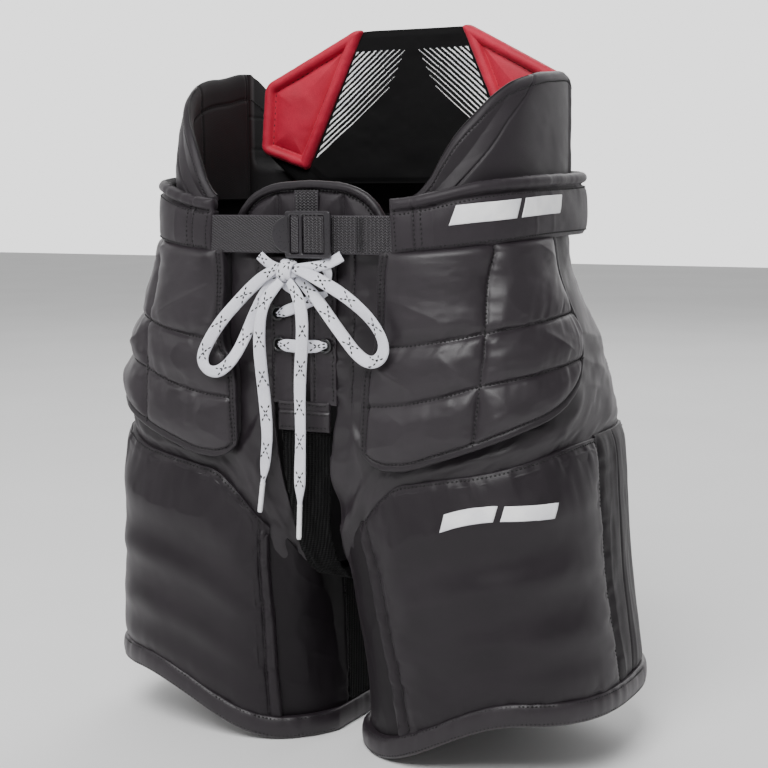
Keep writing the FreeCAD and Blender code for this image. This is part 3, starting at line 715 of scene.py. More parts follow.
    # -------- thigh block
    ST = 9.5
    p = Patch(sd, lambda z, f=fin: f(z) - (5.2 if sd > 0 else 4.6), -3.6, lambda th, x: hem(x) + 12.6, lambda th, x: leg_top(th) - 0.2, 220, 240, 0.4, 0.4, 120)
    V_ = p.v
    side_f = ease((p.d0 - ST) / 26) * ease(p.d1 / 26) * (0.32 + 0.68 * ease((-14 - p.th) / 34) if sd > 0 else 0.16 + 0.84 * ease((-34 - p.th) / 26))
    vw = V_ + 0.02 * vnoise(p.a / 60, 0.3, seed=58 + sdn)
    bul = (4.6 * np.exp(-((vw - .80) / .10) ** 2) + 4.2 * np.exp(-((vw - .535) / .072) ** 2)
           + 3.0 * np.exp(-((vw - .285) / .066) ** 2) + 1.8 * np.exp(-((vw - .10) / .06) ** 2))
    dmin = smin(smin(np.abs(p.d0 - ST), p.d1, 6), smin(p.e0, p.e1, 6), 6)
    h = 2.1 + 2.4 * (1 - np.exp(-np.maximum(dmin, 0) / 5)) + 0.9 * bul * side_f
    h = h + 0.55 * fbm(p.a / 40, p.z / 34, seed=51 + sdn) * ease(dmin / 12)
    for dd, ll, sq, am in ((p.e1, p.a, 53, 1.7), (np.abs(p.d0 - ST), p.z, 54, 1.2), (p.d1, p.z, 55, 1.3), (p.e0, p.a, 56, 0.9)):
        reach = 13 if sq == 53 else 8
        h = h + am * np.exp(-dd / reach) * (1 - np.exp(-dd / 1.6)) * vnoise(ll / 5.6, dd / 30 + sq, seed=sq + sdn)
        h = h + 0.5 * am * np.exp(-dd / (reach * 1.6)) * (1 - np.exp(-dd / 1.6)) * vnoise(ll / 10.6, dd / 40 + sq, seed=sq + 7 + sdn)
    h = np.where(dmin > 5.5, np.maximum(h, 3.95), h)
    h = np.minimum(h, 3.6 + 0.16 * p.e1 + 0.35 * vnoise(p.a / 5.0, 0.6, seed=59 + sdn))
    h = h - 0.7 * groove(p.d0 - ST, 0.9)
    strip = p.d0 < ST
    h = h + strip * (1.2 * np.sqrt(np.clip(1 - ((p.d0 - ST / 2) / (ST / 2)) ** 2, 0, 1)) + 0.9 * vnoise(p.z / 5.2, p.d0 / 9, seed=57 + sdn) * ease(p.z / 200 + 0.35))
    edge_dive = np.exp(-p.e1 / 2.2)
    h = h * (1 - edge_dive) + 1.4 * edge_dive
    q = np.exp(-p.d0 / 1.6)
    h = h * (1 - q) + 1.5 * q
    q = np.exp(-p.d1 / 1.8)
    h = h * (1 - q) + 2.0 * q
    q = np.exp(-p.e0 / 2.0)
    h = h * (1 - q) + 2.6 * q
    F, B = p.at(h), p.at(h * 0 - 3.2)
    o = shell_mesh("thigh_pad_" + nm, F, B, [NYLON_LEG_PAINTED_SHADE, LINING], sd, 1, 0)
    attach(o, leg)
    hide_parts("thigh_cover_" + nm)
    sew(leg, F, line_d(p, p.d0, ST, 0, 3, -3), sd, **ST1)
    sew(leg, F, line_d(p, p.d1, 1.6, 0, 3, -3), sd, **ST1)
    if sd > 0:
        THIGH = (p, F)
    i0 = int(np.argmax(p.a[:, -1] > ST))
    sew(leg, F, line_d(p, p.e1, 1.9, 1, i0, -3), sd, **ST1)
    sew(leg, F, line_d(p, p.e0, 1.6, 1, 2, -2), sd, **ST1)

    # -------- side panel behind the thigh block
    p = Patch(sd, -3.4, 27.6, lambda th, x: hem(x) + 12.6, lambda th, x: leg_top(th) + 1.5, 90, 200, 0.35, 0.3, 120)
    dmin = smin(smin(p.d0, p.d1, 5), smin(p.e0, p.e1, 5), 5)
    h = 1.0 + 2.4 * (1 - np.exp(-np.maximum(dmin, 0) / 7)) + 0.7 * fbm(p.a / 20, p.z / 60, seed=61 + sdn)
    h = h + 1.3 * np.exp(-p.d0 / 9) * (1 - np.exp(-p.d0 / 1.5)) * vnoise(p.z / 5.0, p.d0 / 20, seed=62 + sdn)
    h = h + 0.8 * ridge(p.a / 22, p.z / 110, 63 + sdn, 1.2) * ease(p.d0 / 8) * ease(p.d1 / 8)
    h = h - 1.1 * groove(p.a - p.a[-1:] * 0.42, 1.2)
    for ed in (p.e1, p.e0, p.d0, p.d1):
        q = np.exp(-ed / 1.8)
        h = h * (1 - q) + 1.2 * q
    F, B = p.at(h), p.at(h * 0 - 2.0)
    o = shell_mesh("side_fabric_" + nm, F, B, [NYLON_SIDE_PAINTED_SHADE, LINING], sd, 1, 0)
    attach(o, leg)
    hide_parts("side_panel_" + nm)
    sew(leg, F, line_d(p, p.a - p.a[-1:] * 0.42 + 100, 100, 0, 3, -3), sd, **ST1)
    sew(leg, F, line_d(p, p.d1, 2.0, 0, 3, -3), sd, **ST1)

    # -------- rear of the leg
    p = Patch(sd, 27.8, 119.5, lambda th, x: hem(x) + 12.6, lambda th, x: leg_top(th) + 1.0, 170, 170, 0.3, 0.3, 120)
    dmin = smin(smin(p.d0, p.d1, 5), smin(p.e0, p.e1, 5), 5)
    h = 0.9 + 2.6 * (1 - np.exp(-np.maximum(dmin, 0) / 9)) + 1.2 * fbm(p.a / 34, p.z / 40, seed=71 + sdn) * ease(dmin / 10)
    h = h + 1.6 * ridge(p.a / 60, (p.z + p.a * 0.2) / 22, 72 + sdn) * ease(dmin / 12)
    for dd, ll, sq in ((p.d0, p.z, 73), (p.e1, p.a, 74), (p.e0, p.a, 75)):
        h = h + 0.9 * np.exp(-dd / 8) * (1 - np.exp(-dd / 1.5)) * vnoise(ll / 5.4, dd / 20 + sq, seed=sq + sdn)
    for ed in (p.e1, p.e0, p.d0, p.d1):
        q = np.exp(-ed / 1.8)
        h = h * (1 - q) + 0.6 * q
    F, B = p.at(h), p.at(h * 0 - 2.0)
    F[..., 0] = sd * np.maximum(sd * F[..., 0], 12.0)
    B[..., 0] = sd * np.maximum(sd * B[..., 0], 13.5)
    o = shell_mesh("rear_fabric_" + nm, F, B, [NYLON_LEG_PAINTED_SHADE, LINING], sd, 1, 0)
    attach(o, leg)
    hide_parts("rear_panel_" + nm)
    sew(leg, F, line_d(p, p.e1, 2.0, 1, 2, -2), sd, **ST1)
    sew(leg, F, line_d(p, p.d0, 2.0, 0, 3, -3), sd, **ST1)

    # -------- inner thigh: nylon strip, then stretch knit
    p = Patch(sd, lambda z, f=fin: f(z) - 4.0, -240.8, lambda th, x: hem(x) + 12.4, lambda th, x: leg_top(th) + 2.5, 210, 130, 0.2, 0.2, 90)
    KN = -171.0 if sd < 0 else -165.0
    h = -0.6 + 0.8 * fbm(p.a / 30, p.z / 46, seed=81 + sdn) + 0.7 * ridge(p.a / 46, (p.z + p.a * 0.5) / 30, 82 + sdn, 1.0)
    ak = p.a_of_theta(lambda z: np.full_like(z, KN)) if False else np.array([np.interp(-KN, -p.th[:, j], p.a[:, j]) for j in range(p.z.shape[1])])[None, :] + 0 * p.a
    h = h - 1.2 * groove(p.a - ak, 1.3)
    h = h + 0.7 * np.exp(-np.abs(p.a - ak) / 6) * vnoise(p.z / 5, 0.2, seed=84)
    F, B = p.at(h), p.at(h * 0 - 2.6)
    F[..., 0] = sd * np.maximum(sd * F[..., 0], 12.6 + 0.3 * h)
    B[..., 0] = sd * np.maximum(sd * B[..., 0], 14.6)
    fmi = (p.th[:-1, :-1] < KN).astype(int).ravel()
    o = shell_mesh("inner_fabric_" + nm, F, B, [NYLON_SIDE_PAINTED_SHADE, KNIT, LINING], sd * -1, 2, 0, fm=fmi)
    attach(o, leg)
    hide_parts("inner_panel_" + nm)
    sew(leg, F, (np.array([np.interp(-KN, -p.th[:, j], np.arange(p.th.shape[0])) for j in range(p.z.shape[1])]), np.arange(p.z.shape[1], dtype=float)), -sd, **ST1)

    # -------- hem
    N, K = 560, 18
    ph = np.linspace(-180, 180, N, endpoint=False)
    V = []
    hh = np.full(N, 20.0)
    for _ in range(12):
        hh = hem(np.maximum(polar(hh + 10, ph, 2.0)[0], 12.2))
    hz = hh + 10
    ar = np.radians(ph)
    WB = 0.55 * vnoise(np.cos(ar) * 5, np.sin(ar) * 5, 0.4, 91 + sdn) + 0.65 * vnoise(np.cos(ar) * 17, np.sin(ar) * 17, 0.7, 92 + sdn)
    for i, a in enumerate(ph):
        wob = WB[i]
        for k in range(K):
            t = 2 * math.pi * k / K
            c, s_ = math.cos(t), math.sin(t)
            off = 2.3 + 3.2 * math.copysign(abs(c) ** 0.6, c) + (wob * (0.55 + 0.45 * s_) if c > 0 else 0)
            dz = 8.0 + 7.9 * math.copysign(abs(s_) ** 0.8, s_)
            if c > 0:
                off += 0.5 * math.sin((dz / 15) * math.pi)
            zz_ = hz[i]
            x, y = polar(np.array(zz_), np.array(a), off)
            x = max(float(x), 12.2 - 0.6 * (off - 2.3))
            V.append((sd * x, float(y), hh[i] + dz))
    f = []
    for i in range(N):
        j = (i + 1) % N
        for k in range(K):
            q = (i * K + k, j * K + k, j * K + (k + 1) % K, i * K + (k + 1) % K)
            f.append(q if sd > 0 else q[::-1])
    o = mesh_obj("hem_" + nm, V, f, [NYLON])
    for dz_, off_ in ((14.2, 4.6), (2.4, 5.0)):
        x_, y_ = polar(hz, ph, off_ + 0.0 * WB)
        x_ = np.maximum(x_, 12.4)
        P_ = np.stack([sd * x_, y_, hh + dz_], 1)
        P_ = np.vstack([P_, P_[:1]])
        nx_, ny_ = polar(hz, ph, off_ + 1.0)
        n_ = np.stack([sd * (nx_ - x_), ny_ - y_, 0.0 * x_ + (0.5 if dz_ > 8 else -0.2)], 1)
        n_ = np.vstack([n_, n_[:1]])
        stitches(leg, P_, n_ / np.linalg.norm(n_, axis=1, keepdims=True), **ST1)
    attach(o, leg)
    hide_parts("hem_band_" + nm)

# ------------------------------------------------------------------ flat and padded pieces
def rounded(pts, r=6.0, k=5, closed=True):
    """a polygon with its corners rounded"""
    pts = np.asarray(pts, float)
    out, n = [], len(pts)
    for i in range(n):
        a, b, c = pts[i - 1], pts[i], pts[(i + 1) % n]
        if not closed and i in (0, n - 1):
            out.append(b)
            continue
        u, v = a - b, c - b
        lu, lv = np.linalg.norm(u), np.linalg.norm(v)
        q = min(r, lu * 0.45, lv * 0.45)
        p0, p2 = b + u / lu * q, b + v / lv * q
        for t in np.linspace(0, 1, k + 1):
            out.append((1 - t) ** 2 * p0 + 2 * t * (1 - t) * b + t * t * p2)
    return np.array(out)


def dist_poly(P, poly, closed=True):
    a = poly
    b = np.roll(poly, -1, 0) if closed else poly[1:]
    a = a if closed else poly[:-1]
    d = np.full(P.shape[:-1], 1e9)
    for p, q in zip(a, b):
        e = q - p
        L = max(float(e @ e), 1e-9)
        t = np.clip(((P - p) @ e) / L, 0, 1)
        d = np.minimum(d, np.linalg.norm(P - (p + t[..., None] * e), axis=-1))
    return d


def star_pad(name, poly, centre, front, back, mats, nr=40, na=360, fm=None):
    """closed form over a star-shaped outline in x, z; front and back give y from x, z, edge distance"""
    poly = np.asarray(poly, float)
    c = np.asarray(centre, float)
    seg = np.linalg.norm(np.roll(poly, -1, 0) - poly, axis=1)
    s = np.concatenate([[0], np.cumsum(seg)])
    pp = np.vstack([poly, poly[:1]])
    t = np.linspace(0, s[-1], na, endpoint=False)
    O = np.stack([np.interp(t, s, pp[:, 0]), np.interp(t, s, pp[:, 1])], 1)
    area = 0.5 * np.sum(O[:, 0] * np.roll(O[:, 1], -1) - np.roll(O[:, 0], -1) * O[:, 1])
    if area < 0:
        O = O[::-1]
    r = 1 - (1 - np.linspace(0, 1, nr + 1)) ** 1.25
    r = np.sin(np.linspace(0, 1, nr + 1) * math.pi / 2)[1:]
    G = c + r[:, None, None] * (O[None] - c)
    d = dist_poly(G, O[::max(1, na // 150)])
    d[-1] = 0
    dc = dist_poly(c[None, None], O)
    yf, yb = front(G[..., 0], G[..., 1], d), back(G[..., 0], G[..., 1], d)
    cf, cb = float(front(c[0], c[1], dc)[0, 0]) if np.ndim(front(c[0], c[1], dc)) else float(front(c[0], c[1], dc)), 0
    cbv = back(c[0], c[1], dc)
    cb = float(np.ravel(cbv)[0])
    V, faces, mi = [], [], []
    V.append((c[0], cf, c[1]))
    for i in range(nr):
        V += [(G[i, k, 0], yf[i, k], G[i, k, 1]) for k in range(na)]
    nb = len(V)
    V.append((c[0], cb, c[1]))
    for i in range(nr):
        V += [(G[i, k, 0], yb[i, k], G[i, k, 1]) for k in range(na)]
    for base, fl, mm_ in ((0, False, 0), (nb, True, 1)):
        for k in range(na):
            j = (k + 1) % na
            q = (base, base + 1 + k, base + 1 + j)
            faces.append(q[::-1] if fl else q)
            mi.append((fm(G[0, k, 0], G[0, k, 1], d[0, k]) if fm is not None and not fl else min(mm_, len(mats) - 1)))
        for i in range(nr - 1):
            for k in range(na):
                j = (k + 1) % na
                q = (base + 1 + i * na + k, base + 1 + (i + 1) * na + k, base + 1 + (i + 1) * na + j, base + 1 + i * na + j)
                faces.append(q[::-1] if fl else q)
                mi.append((fm(G[i, k, 0], G[i, k, 1], d[i, k]) if fm is not None and not fl else min(mm_, len(mats) - 1)))
    for k in range(na):
        j = (k + 1) % na
        a, b = 1 + (nr - 1) * na + k, 1 + (nr - 1) * na + j
        faces.append((a, nb + a, nb + b, b))
        mi.append(min(1, len(mats) - 1))
    return mesh_obj(name, V, faces, mats, mi), O


def box_patch(name, xs, zs, yf, yb, mats, fm=None):
    """plate facing -Y on a grid; yf, yb give y from the grids of x and z"""
    X, Z = np.meshgrid(np.asarray(xs, float), np.asarray(zs, float), indexing="ij")
    YF, YB = yf(X, Z), yb(X, Z)
    F, B = np.stack([X, YF + 0 * X, Z], -1), np.stack([X, YB + 0 * X, Z], -1)
    return shell_mesh(name, F, B, mats, 1, len(mats) - 1, 0, fm=fm), F


def cut_plate(name, outer, holes, y0, y1, bev, mats, res=3):
    """bevelled plate with holes in the x, z plane, from y0 (front) to y1"""
    cu = bpy.data.curves.new(name + "_c", "CURVE")
    cu.dimensions = "2D"
    cu.fill_mode = "BOTH"
    for loop in [outer] + list(holes):
        sp = cu.splines.new("POLY")
        sp.points.add(len(loop) - 1)
        for pt, (x, z) in zip(sp.points, loop):
            pt.co = (x * MM, z * MM, 0, 1)
        sp.use_cyclic_u = True
    cu.extrude = max((y1 - y0) / 2 - bev, 0.0001) * MM
    cu.bevel_depth = bev * MM
    cu.bevel_resolution = res
    cu.offset = -bev * MM
    o = bpy.data.objects.new(name + "_t", cu)
    COL.objects.link(o)
    me = bpy.data.meshes.new_from_object(o.evaluated_get(bpy.context.evaluated_depsgraph_get()))
    bpy.data.objects.remove(o)
    ym = (y0 + y1) / 2 * MM
    for v in me.vertices:
        x, z, y = v.co
        v.co = (x, ym - y, z)
    me.name = name
    me.materials.clear()
    for m in mats:
        me.materials.append(m)
    for q in me.polygons:
        q.use_smooth = False
    ob = bpy.data.objects.new(name, me)
    COL.objects.link(ob)
    import bmesh
    bm = bmesh.new()
    bm.from_mesh(me)
    bmesh.ops.remove_doubles(bm, verts=bm.verts, dist=2e-6)
    bmesh.ops.recalc_face_normals(bm, faces=bm.faces)
    bm.to_mesh(me)
    bm.free()
    return ob


def arc_pts(cx, cz, r, a0, a1, n=10):
    return [(cx + r * math.cos(math.radians(a)), cz + r * math.sin(math.radians(a))) for a in np.linspace(a0, a1, n)]


def join(name, objs):
    """one mesh object from several, materials kept"""
    mats, V, Fc, M, S, base = [], [], [], [], [], 0
    for o in objs:
        me = o.data
        idx = []
        for m in me.materials:
            if m not in mats:
                mats.append(m)
            idx.append(mats.index(m))
        V += [tuple(v.co) for v in me.vertices]
        for q in me.polygons:
            Fc.append(tuple(base + i for i in q.vertices))
            M.append(idx[min(q.material_index, len(idx) - 1)])
            S.append(q.use_smooth)
        base += len(me.vertices)
    me = bpy.data.meshes.new(name)
    me.from_pydata(V, [], Fc)
    for m in mats:
        me.materials.append(m)
    me.polygons.foreach_set("material_index", M)
    me.polygons.foreach_set("use_smooth", S)
    me.update()
    for o in objs:
        bpy.data.objects.remove(o)
    ob = bpy.data.objects.new(name, me)
    COL.objects.link(ob)
    return ob


# ------------------------------------------------------------------ belt
BLO = np.array([(-90, 344), (-78, 345), (-43, 350), (4, 354), (120, 354)], float)
BHI = np.array([(-90, 371), (-78, 373), (-42, 384), (0, 388), (60, 390), (120, 390)], float)
blo = lambda th: pchip(BLO[:, 0], BLO[:, 1], th)
bhi = lambda th: pchip(BHI[:, 0], BHI[:, 1], th)
grids = []
for sd in (1, -1):
    p = Patch(sd, -80.0, lambda z: xline(z, 0.0, True), lambda th, x: blo(th), lambda th, x: bhi(th) + 7.2, 330, 44, 0.35, 0.35, 360)
    roll = p.e1 < 8.2
    body = np.minimum(p.e0, np.maximum(p.e1 - 8.2, 0))
    h = 9.4 + 2.6 * (1 - np.exp(-body / 5.0)) + 0.5 * fbm(p.a / 30, p.z / 24, seed=101 + sd) * ease(body / 5)
    h = h + 0.6 * ridge(p.a / 17, p.z / 60, 103 + sd) * ease(body / 4) + 0.55 * np.exp(-body / 4) * vnoise(p.a / 5.0, 0.4, seed=104 + sd)
    rr = np.sqrt(np.clip(1 - ((p.e1 - 4.1) / 4.1) ** 2, 0, 1))
    h = np.where(roll, 7.6 + 4.3 * rr + 0.35 * vnoise(p.a / 4.4, 0.2, seed=106 + sd), h)
    h = h - 1.1 * groove(p.e1 - 8.4, 1.1)
    q = np.exp(-p.e0 / 1.6)
    h = h * (1 - q) + 8.4 * q
    q = np.exp(-p.d0 / 1.5)
    h = h * (1 - q) + 9.0 * q
    sm = 14.0
    h = h - 0.8 * groove(p.d0 - sm, 1.1)
    bk = 3.2 + 0 * h
    bk = np.where(roll, 7.6 - 4.0 * rr, 3.2)
    F, B = p.at(h), p.at(bk)
    grids.append((F, B, p, h))
    N = lambda v: line_d(p, p.e1, v, 1, 10, -3)
    for path in (line_d(p, p.e1, 10.4, 1, 8, -2), line_d(p, p.e0, 3.0, 1, 8, -2)):
        sew("trunk", F, path, sd, **ST1)
    for val in (2.6, sm, sm + 4.2):
        sew("trunk", F, line_d(p, p.d0, val, 0, 3, 34), sd, **ST1)
(FL, BL, PL_, _), (FR, BR, _, _) = grids
BARS = [(PL_, FL, 1, "trunk", "belt")]

F = np.concatenate([FR, FL[::-1][1:]], 0)
B = np.concatenate([BR, BL[::-1][1:]], 0)
belt = shell_mesh("waist_belt", F, B, [BELTM, LINING], -1, 1, 0)
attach(belt, "trunk")
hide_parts("belt_sleeve", "belt_roll", "belt_foam")

def decal(name, body, F, p, side, a0, a1, b0, b1, slant, gap, mat=None):
    """a plain slanted bar laid on a patch; a along, b up, in mm"""
    na, nb = max(2, int(abs(a1 - a0) / 1.2)), max(2, int((b1 - b0) / 0.9))
    S, T = np.meshgrid(np.linspace(0, 1, na + 1), np.linspace(0, 1, nb + 1), indexing="ij")
    A, Bm = a0 + (a1 - a0) * S + slant * T, b0 + (b1 - b0) * T
    U, V = np.zeros_like(A), np.zeros_like(A)
    jm = p.z.shape[1] // 2
    for _ in range(3):
        for i in range(A.shape[0]):
            for j in range(A.shape[1]):
                jj = int(np.clip(round(V[i, j] if _ else jm), 0, p.z.shape[1] - 1))
                U[i, j] = np.interp(A[i, j], p.a[:, jj], np.arange(p.a.shape[0]))
                ii = int(round(U[i, j]))
                V[i, j] = np.interp(Bm[i, j], p.b[ii], np.arange(p.b.shape[1]))
    N_ = normals(F, side)
    q, n = sample(F, U.ravel(), V.ravel()), sample(N_, U.ravel(), V.ravel())
    top, bot = (q + n * gap).reshape(*A.shape, 3), (q - n * 0.2).reshape(*A.shape, 3)
    o = shell_mesh(name, top, bot, [mat or PRINT], side, 0, 0)
    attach(o, body)
    return o


# ------------------------------------------------------------------ tongue behind the fly
ARCH = [(-46, 250), (46, 250), (54, 300), (56, 345), (52, 366), (42, 378), (26, 384), (0, 386), (-26, 384), (-42, 378), (-52, 366), (-56, 345), (-54, 300)]
tp = rounded(ARCH, 8, 4)


def tfront(x, z, d):
    dd = np.minimum(np.abs(np.abs(x) - 25), d)
    return -84.6 - 4.6 * (1 - np.exp(-dd / 6.0)) * ease(d / 2.0 + 0.2) - 0.5 * fbm(x / 16, z / 18, seed=111) * ease(d / 6) + 0.9 * groove(np.abs(x) - 25, 1.2)


o, O = star_pad("tongue", tp, (0, 320), tfront, lambda x, z, d: -83.9 + 2.7 * (1 - np.exp(-d / 3.0)), [BELTM, LINING], 70, 300)
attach(o, "trunk")
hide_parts("tongue_pad")
path = rounded([(-58.0, 345), (-54.6, 366.5), (-43.6, 380.5), (-27, 387.2), (0, 389.0), (27, 387.2), (43.6, 380.5), (54.6, 366.5), (58.0, 345)], 9, 6, closed=False)
seg = np.concatenate([[0], np.cumsum(np.linalg.norm(np.diff(path, axis=0), axis=1))])
t = np.linspace(0, seg[-1], 150)
pts = np.stack([np.interp(t, seg, path[:, 0]), -85.4 + 0 * t, np.interp(t, seg, path[:, 1])], 1)
o = tube_mesh("tongue_piping", pts, 3.0 + 0.15 * vnoise(t / 3.5, 0.3, seed=113), [BIND], 14)
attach(o, "trunk")
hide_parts("tongue_binding")
for xx in (-25, 25):
    zz = np.linspace(372, 383.5, 8)
    stitches("trunk", np.stack([xx + 0 * zz, tfront(np.full_like(zz, xx), zz, np.full_like(zz, 20.0)) - 0.1, zz], 1), np.tile([0, -1.0, 0], (8, 1)), **ST1)
inn = (path - np.array([0, 345])) * 0.925 + np.array([0, 345])
stitches("trunk", np.stack([inn[:, 0], tfront(inn[:, 0], inn[:, 1], np.full(len(inn), 5.0)) - 0.1, inn[:, 1]], 1), np.tile([0, -1.0, 0], (len(inn), 1)), **ST1)


for k, (ba, bb_) in enumerate(((56, 98), (102, 144))):
    decal("belt_bar_%d" % k, "trunk", FL, PL_, 1, ba - 22, bb_ - 22, 15.5, 27.5, 5.0, 0.28)
for k, (ba, bb_) in enumerate(((68, 101), (105, 138))):
    decal("thigh_bar_%d" % k, "leg_left", THIGH[1], THIGH[0], 1, ba, bb_, 126.0, 136.0, 5.0, 0.28)


# ------------------------------------------------------------------ webbing: real weave in the mesh
def weave(s, w, W, kind):
    """thread relief, s along, w across"""
    if kind == "columns":           # columns of small Vs that stand across the band
        v = np.abs((s % 2.9) - 1.45)
        return 0.34 * np.sin((w - v * 1.1) * 2 * math.pi / 1.75) - 0.30 * groove(v - 1.45, 0.28)
    if kind == "rib":
        return 0.34 * np.sin((s + np.abs((w % 3.0) - 1.5)) * 2 * math.pi / 1.9) * (0.6 + 0.4 * np.sin(w * 2 * math.pi / 1.5))
    return 0.36 * np.sin((w * 1.0 + s * 0.62) * 2 * math.pi / 1.85) * (0.55 + 0.45 * np.sin((s - w * 0.25) * 2 * math.pi / 1.5))


def web_plate(name, x0, x1, z0, z1, y, thick, kind, horizontal=True, step=0.32):
    xs = np.arange(x0, x1 + step / 2, step)
    zs = np.arange(z0, z1 + step / 2, step)

    def yf(X, Z):
        s, w, W = (X - x0, Z - z0, z1 - z0) if horizontal else (Z - z0, X - x0, x1 - x0)
        e = np.minimum(w, W - w)
        h = weave(s, w, W, kind) * ease(e / 1.2) + 0.25 * np.sqrt(np.clip(e / 1.6, 0, 1))
        return y - h + 0.35 * (1 - np.sqrt(np.clip(e / 1.0, 0, 1)))
    o, F = box_patch(name, xs, zs, yf, lambda X, Z: np.full_like(X, y + thick), [WEB])
    return o


st = web_plate("strap_rib_side", 20, 71, 344.2, 369.2, -100.1, 1.3, "columns")
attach(st, "trunk")
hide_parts("strap_left")
st = web_plate("strap_free_side", -71, -2, 344.2, 369.2, -100.1, 1.3, "fine")
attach(st, "trunk")
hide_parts("strap_right")
zz = np.linspace(346, 367.5, 40)
for xx in (43.6, 45.2, 46.8):
    wv = xx + 0.5 * np.sin(zz * 3.1)
    stitches("trunk", np.stack([wv, -100.9 + 0 * zz, zz], 1), np.tile([0, -1.0, 0], (40, 1)), L=1.1, gap=0.35, r=0.34, key="grey")
st = web_plate("keeper_tab", -9, 9, 332, 385.0, -90.6, 1.4, "rib", False)
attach(st, "trunk")
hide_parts("tongue_webbing")
o = join("strap_in_buckle", [web_plate("sw1", -3.4, 2.0, 344.8, 368.8, -104.5, 1.0, "fine"), web_plate("sw2", 6.1, 20.9, 344.8, 368.8, -104.5, 1.0, "columns")])
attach(o, "buckle_body")
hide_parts("strap_weave")

# ------------------------------------------------------------------ buckle
zc, z0, z1 = 356.7, 341.4, 372.0
outer = rounded([(-8, z0), (26, z0), (26, z1), (-8, z1)], 2.6, 5)
h1 = rounded([(-4.0, 344.2), (2.6, 344.2), (2.6, 369.4), (-4.0, 369.4)], 1.2, 4)
h2 = rounded([(5.0, 344.2), (21.5, 344.2), (21.5, 369.4), (5.0, 369.4)], 1.2, 4)
fr = cut_plate("bk1", outer, [h1, h2], -105.5, -103.0, 1.0, [BUCK], 5)
tabo = rounded(arc_pts(-5.5, zc, 12.0, 90, 270, 26) + [(-4.3, zc - 12.0), (-4.3, zc + 12.0)], 0.8, 2)
tb = cut_plate("bk2", tabo, [], -105.9, -103.2, 0.9, [BUCK], 4)
bk = join("buckle_frame", [fr, tb])
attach(bk, "buckle_body")
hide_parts("buckle")

# ------------------------------------------------------------------ fly facings, eyelets, base, gusset
FX = {1: [(4.6, 25.0)], -1: [(4.6, 25.0)]}
for nm, sd in SIDES:
    xs, zs = np.linspace(4.6, 24.6, 52), np.linspace(244.5, 342, 200)

    def fy(X, Z, sd=sd):
        e = np.minimum(np.minimum(X - 4.6, 24.6 - X), np.minimum(Z - 244.5, 342 - Z))
        g = np.exp(-(24.6 - X) / 5.0) * vnoise(Z / 4.6, 0.2, seed=120 + sd) + 0.6 * np.exp(-(X - 4.6) / 4.0) * vnoise(Z / 5.6, 0.7, seed=121 + sd)
        zone = 0.45 + 0.9 * np.exp(-((Z - 262) / 16) ** 2) + 0.8 * np.exp(-((Z - 334) / 9) ** 2)
        h = 0.9 * np.sqrt(np.clip(e / 2.2, 0, 1)) + 1.25 * g * zone * ease(e / 2) + 0.5 * fbm(X / 10, Z / 14, seed=122 + sd) * ease(e / 3)
        h = h - 0.5 * groove(X - 8.4, 0.8)
        return -95.6 - h
    o, F = box_patch("fly_facing_%s_cloth" % nm, sd * xs[::sd], zs, lambda X, Z: fy(np.abs(X), Z), lambda X, Z: np.full_like(X, -94.0), [NYLON, LINING])
    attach(o, "trunk")
    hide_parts("fly_facing_" + nm)
    zz = np.linspace(247, 340, 120)
    for xx in (8.4, 22.3):
        stitches("trunk", np.stack([sd * xx + 0 * zz, fy(np.full_like(zz, xx), zz) - 0.05, zz], 1), np.tile([0, -1.0, 0], (120, 1)), **ST1)
rings = []
for sd in (1, -1):
    for ex, ez in ((17.5, 284), (18.5, 304.5), (18.5, 326)):
        a = np.linspace(0, 2 * math.pi, 28, endpoint=False)
        rings.append(tube_mesh("ey", np.stack([sd * ex + 4.1 * np.cos(a), -98.0 + 0 * a, ez + 4.1 * np.sin(a)], 1), 0.85, [EYE], 10, closed=True))
        # a black disc fills each eyelet's hole: painted shade in place of the open hole
        rings.append(tube_mesh("eyelet_hole_painted_shade", [(sd * ex, -97.0, ez), (sd * ex, -97.6, ez)], 3.6, [THREAD], 24, up=(1.0, 0.0, 0.0)))
o = join("eyelet_rings", rings)
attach(o, "trunk")
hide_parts("eyelets")
xs, zs = np.linspace(-19.5, 19.5, 64), np.linspace(226.5, 246.5, 60)


def by(X, Z):
    e = np.minimum(19.5 - np.abs(X), np.minimum(Z - 226.5, 246.5 - Z))
    h = 1.0 * np.sqrt(np.clip(e / 2.0, 0, 1)) + 0.6 * vnoise(X / 5, Z / 14, seed=131) * ease(e / 2) - 0.8 * groove(Z - 240, 1.0)
    return -96.5 - h


o, F = box_patch("fly_base_cloth", xs, zs, by, lambda X, Z: np.full_like(X, -94.6), [NYLON2, LINING])
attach(o, "trunk")
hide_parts("fly_base")
xx = np.linspace(-18, 18, 30)
for z_ in (229.2, 238.2, 244.2):
    stitches("trunk", np.stack([xx, by(xx, np.full_like(xx, z_)) - 0.05, z_ + 0 * xx], 1), np.tile([0, -1.0, 0], (30, 1)), **ST1)

GP = np.array([(-93.6, 230), (-92.6, 214), (-91.6, 190), (-86.5, 152), (-67, 123.5), (-31, 114.5), (20, 113.5), (61, 121.5), (87, 147), (96, 190), (96.5, 226)], float)
for _ in range(3):
    q = [GP[0]]
    for a_, b_ in zip(GP[:-1], GP[1:]):
        q += [a_ * 0.75 + b_ * 0.25, a_ * 0.25 + b_ * 0.75]
    GP = np.array(q + [GP[-1]])
seg = np.concatenate([[0], np.cumsum(np.linalg.norm(np.diff(GP, axis=0), axis=1))])
t = np.linspace(0, seg[-1], 220)
gy, gz = np.interp(t, seg, GP[:, 0]), np.interp(t, seg, GP[:, 1])
ty, tz = np.gradient(gy), np.gradient(gz)
ln = np.hypot(ty, tz)
ny, nz = tz / ln, -ty / ln          # outward: forward at the front, down underneath
if ny[5] > 0:
    ny, nz = -ny, -nz
W = np.where(t < 90, 19.5 - (19.5 - 13.0) * ease(t / 90), 13.0)
U = np.linspace(-1, 1, 36)
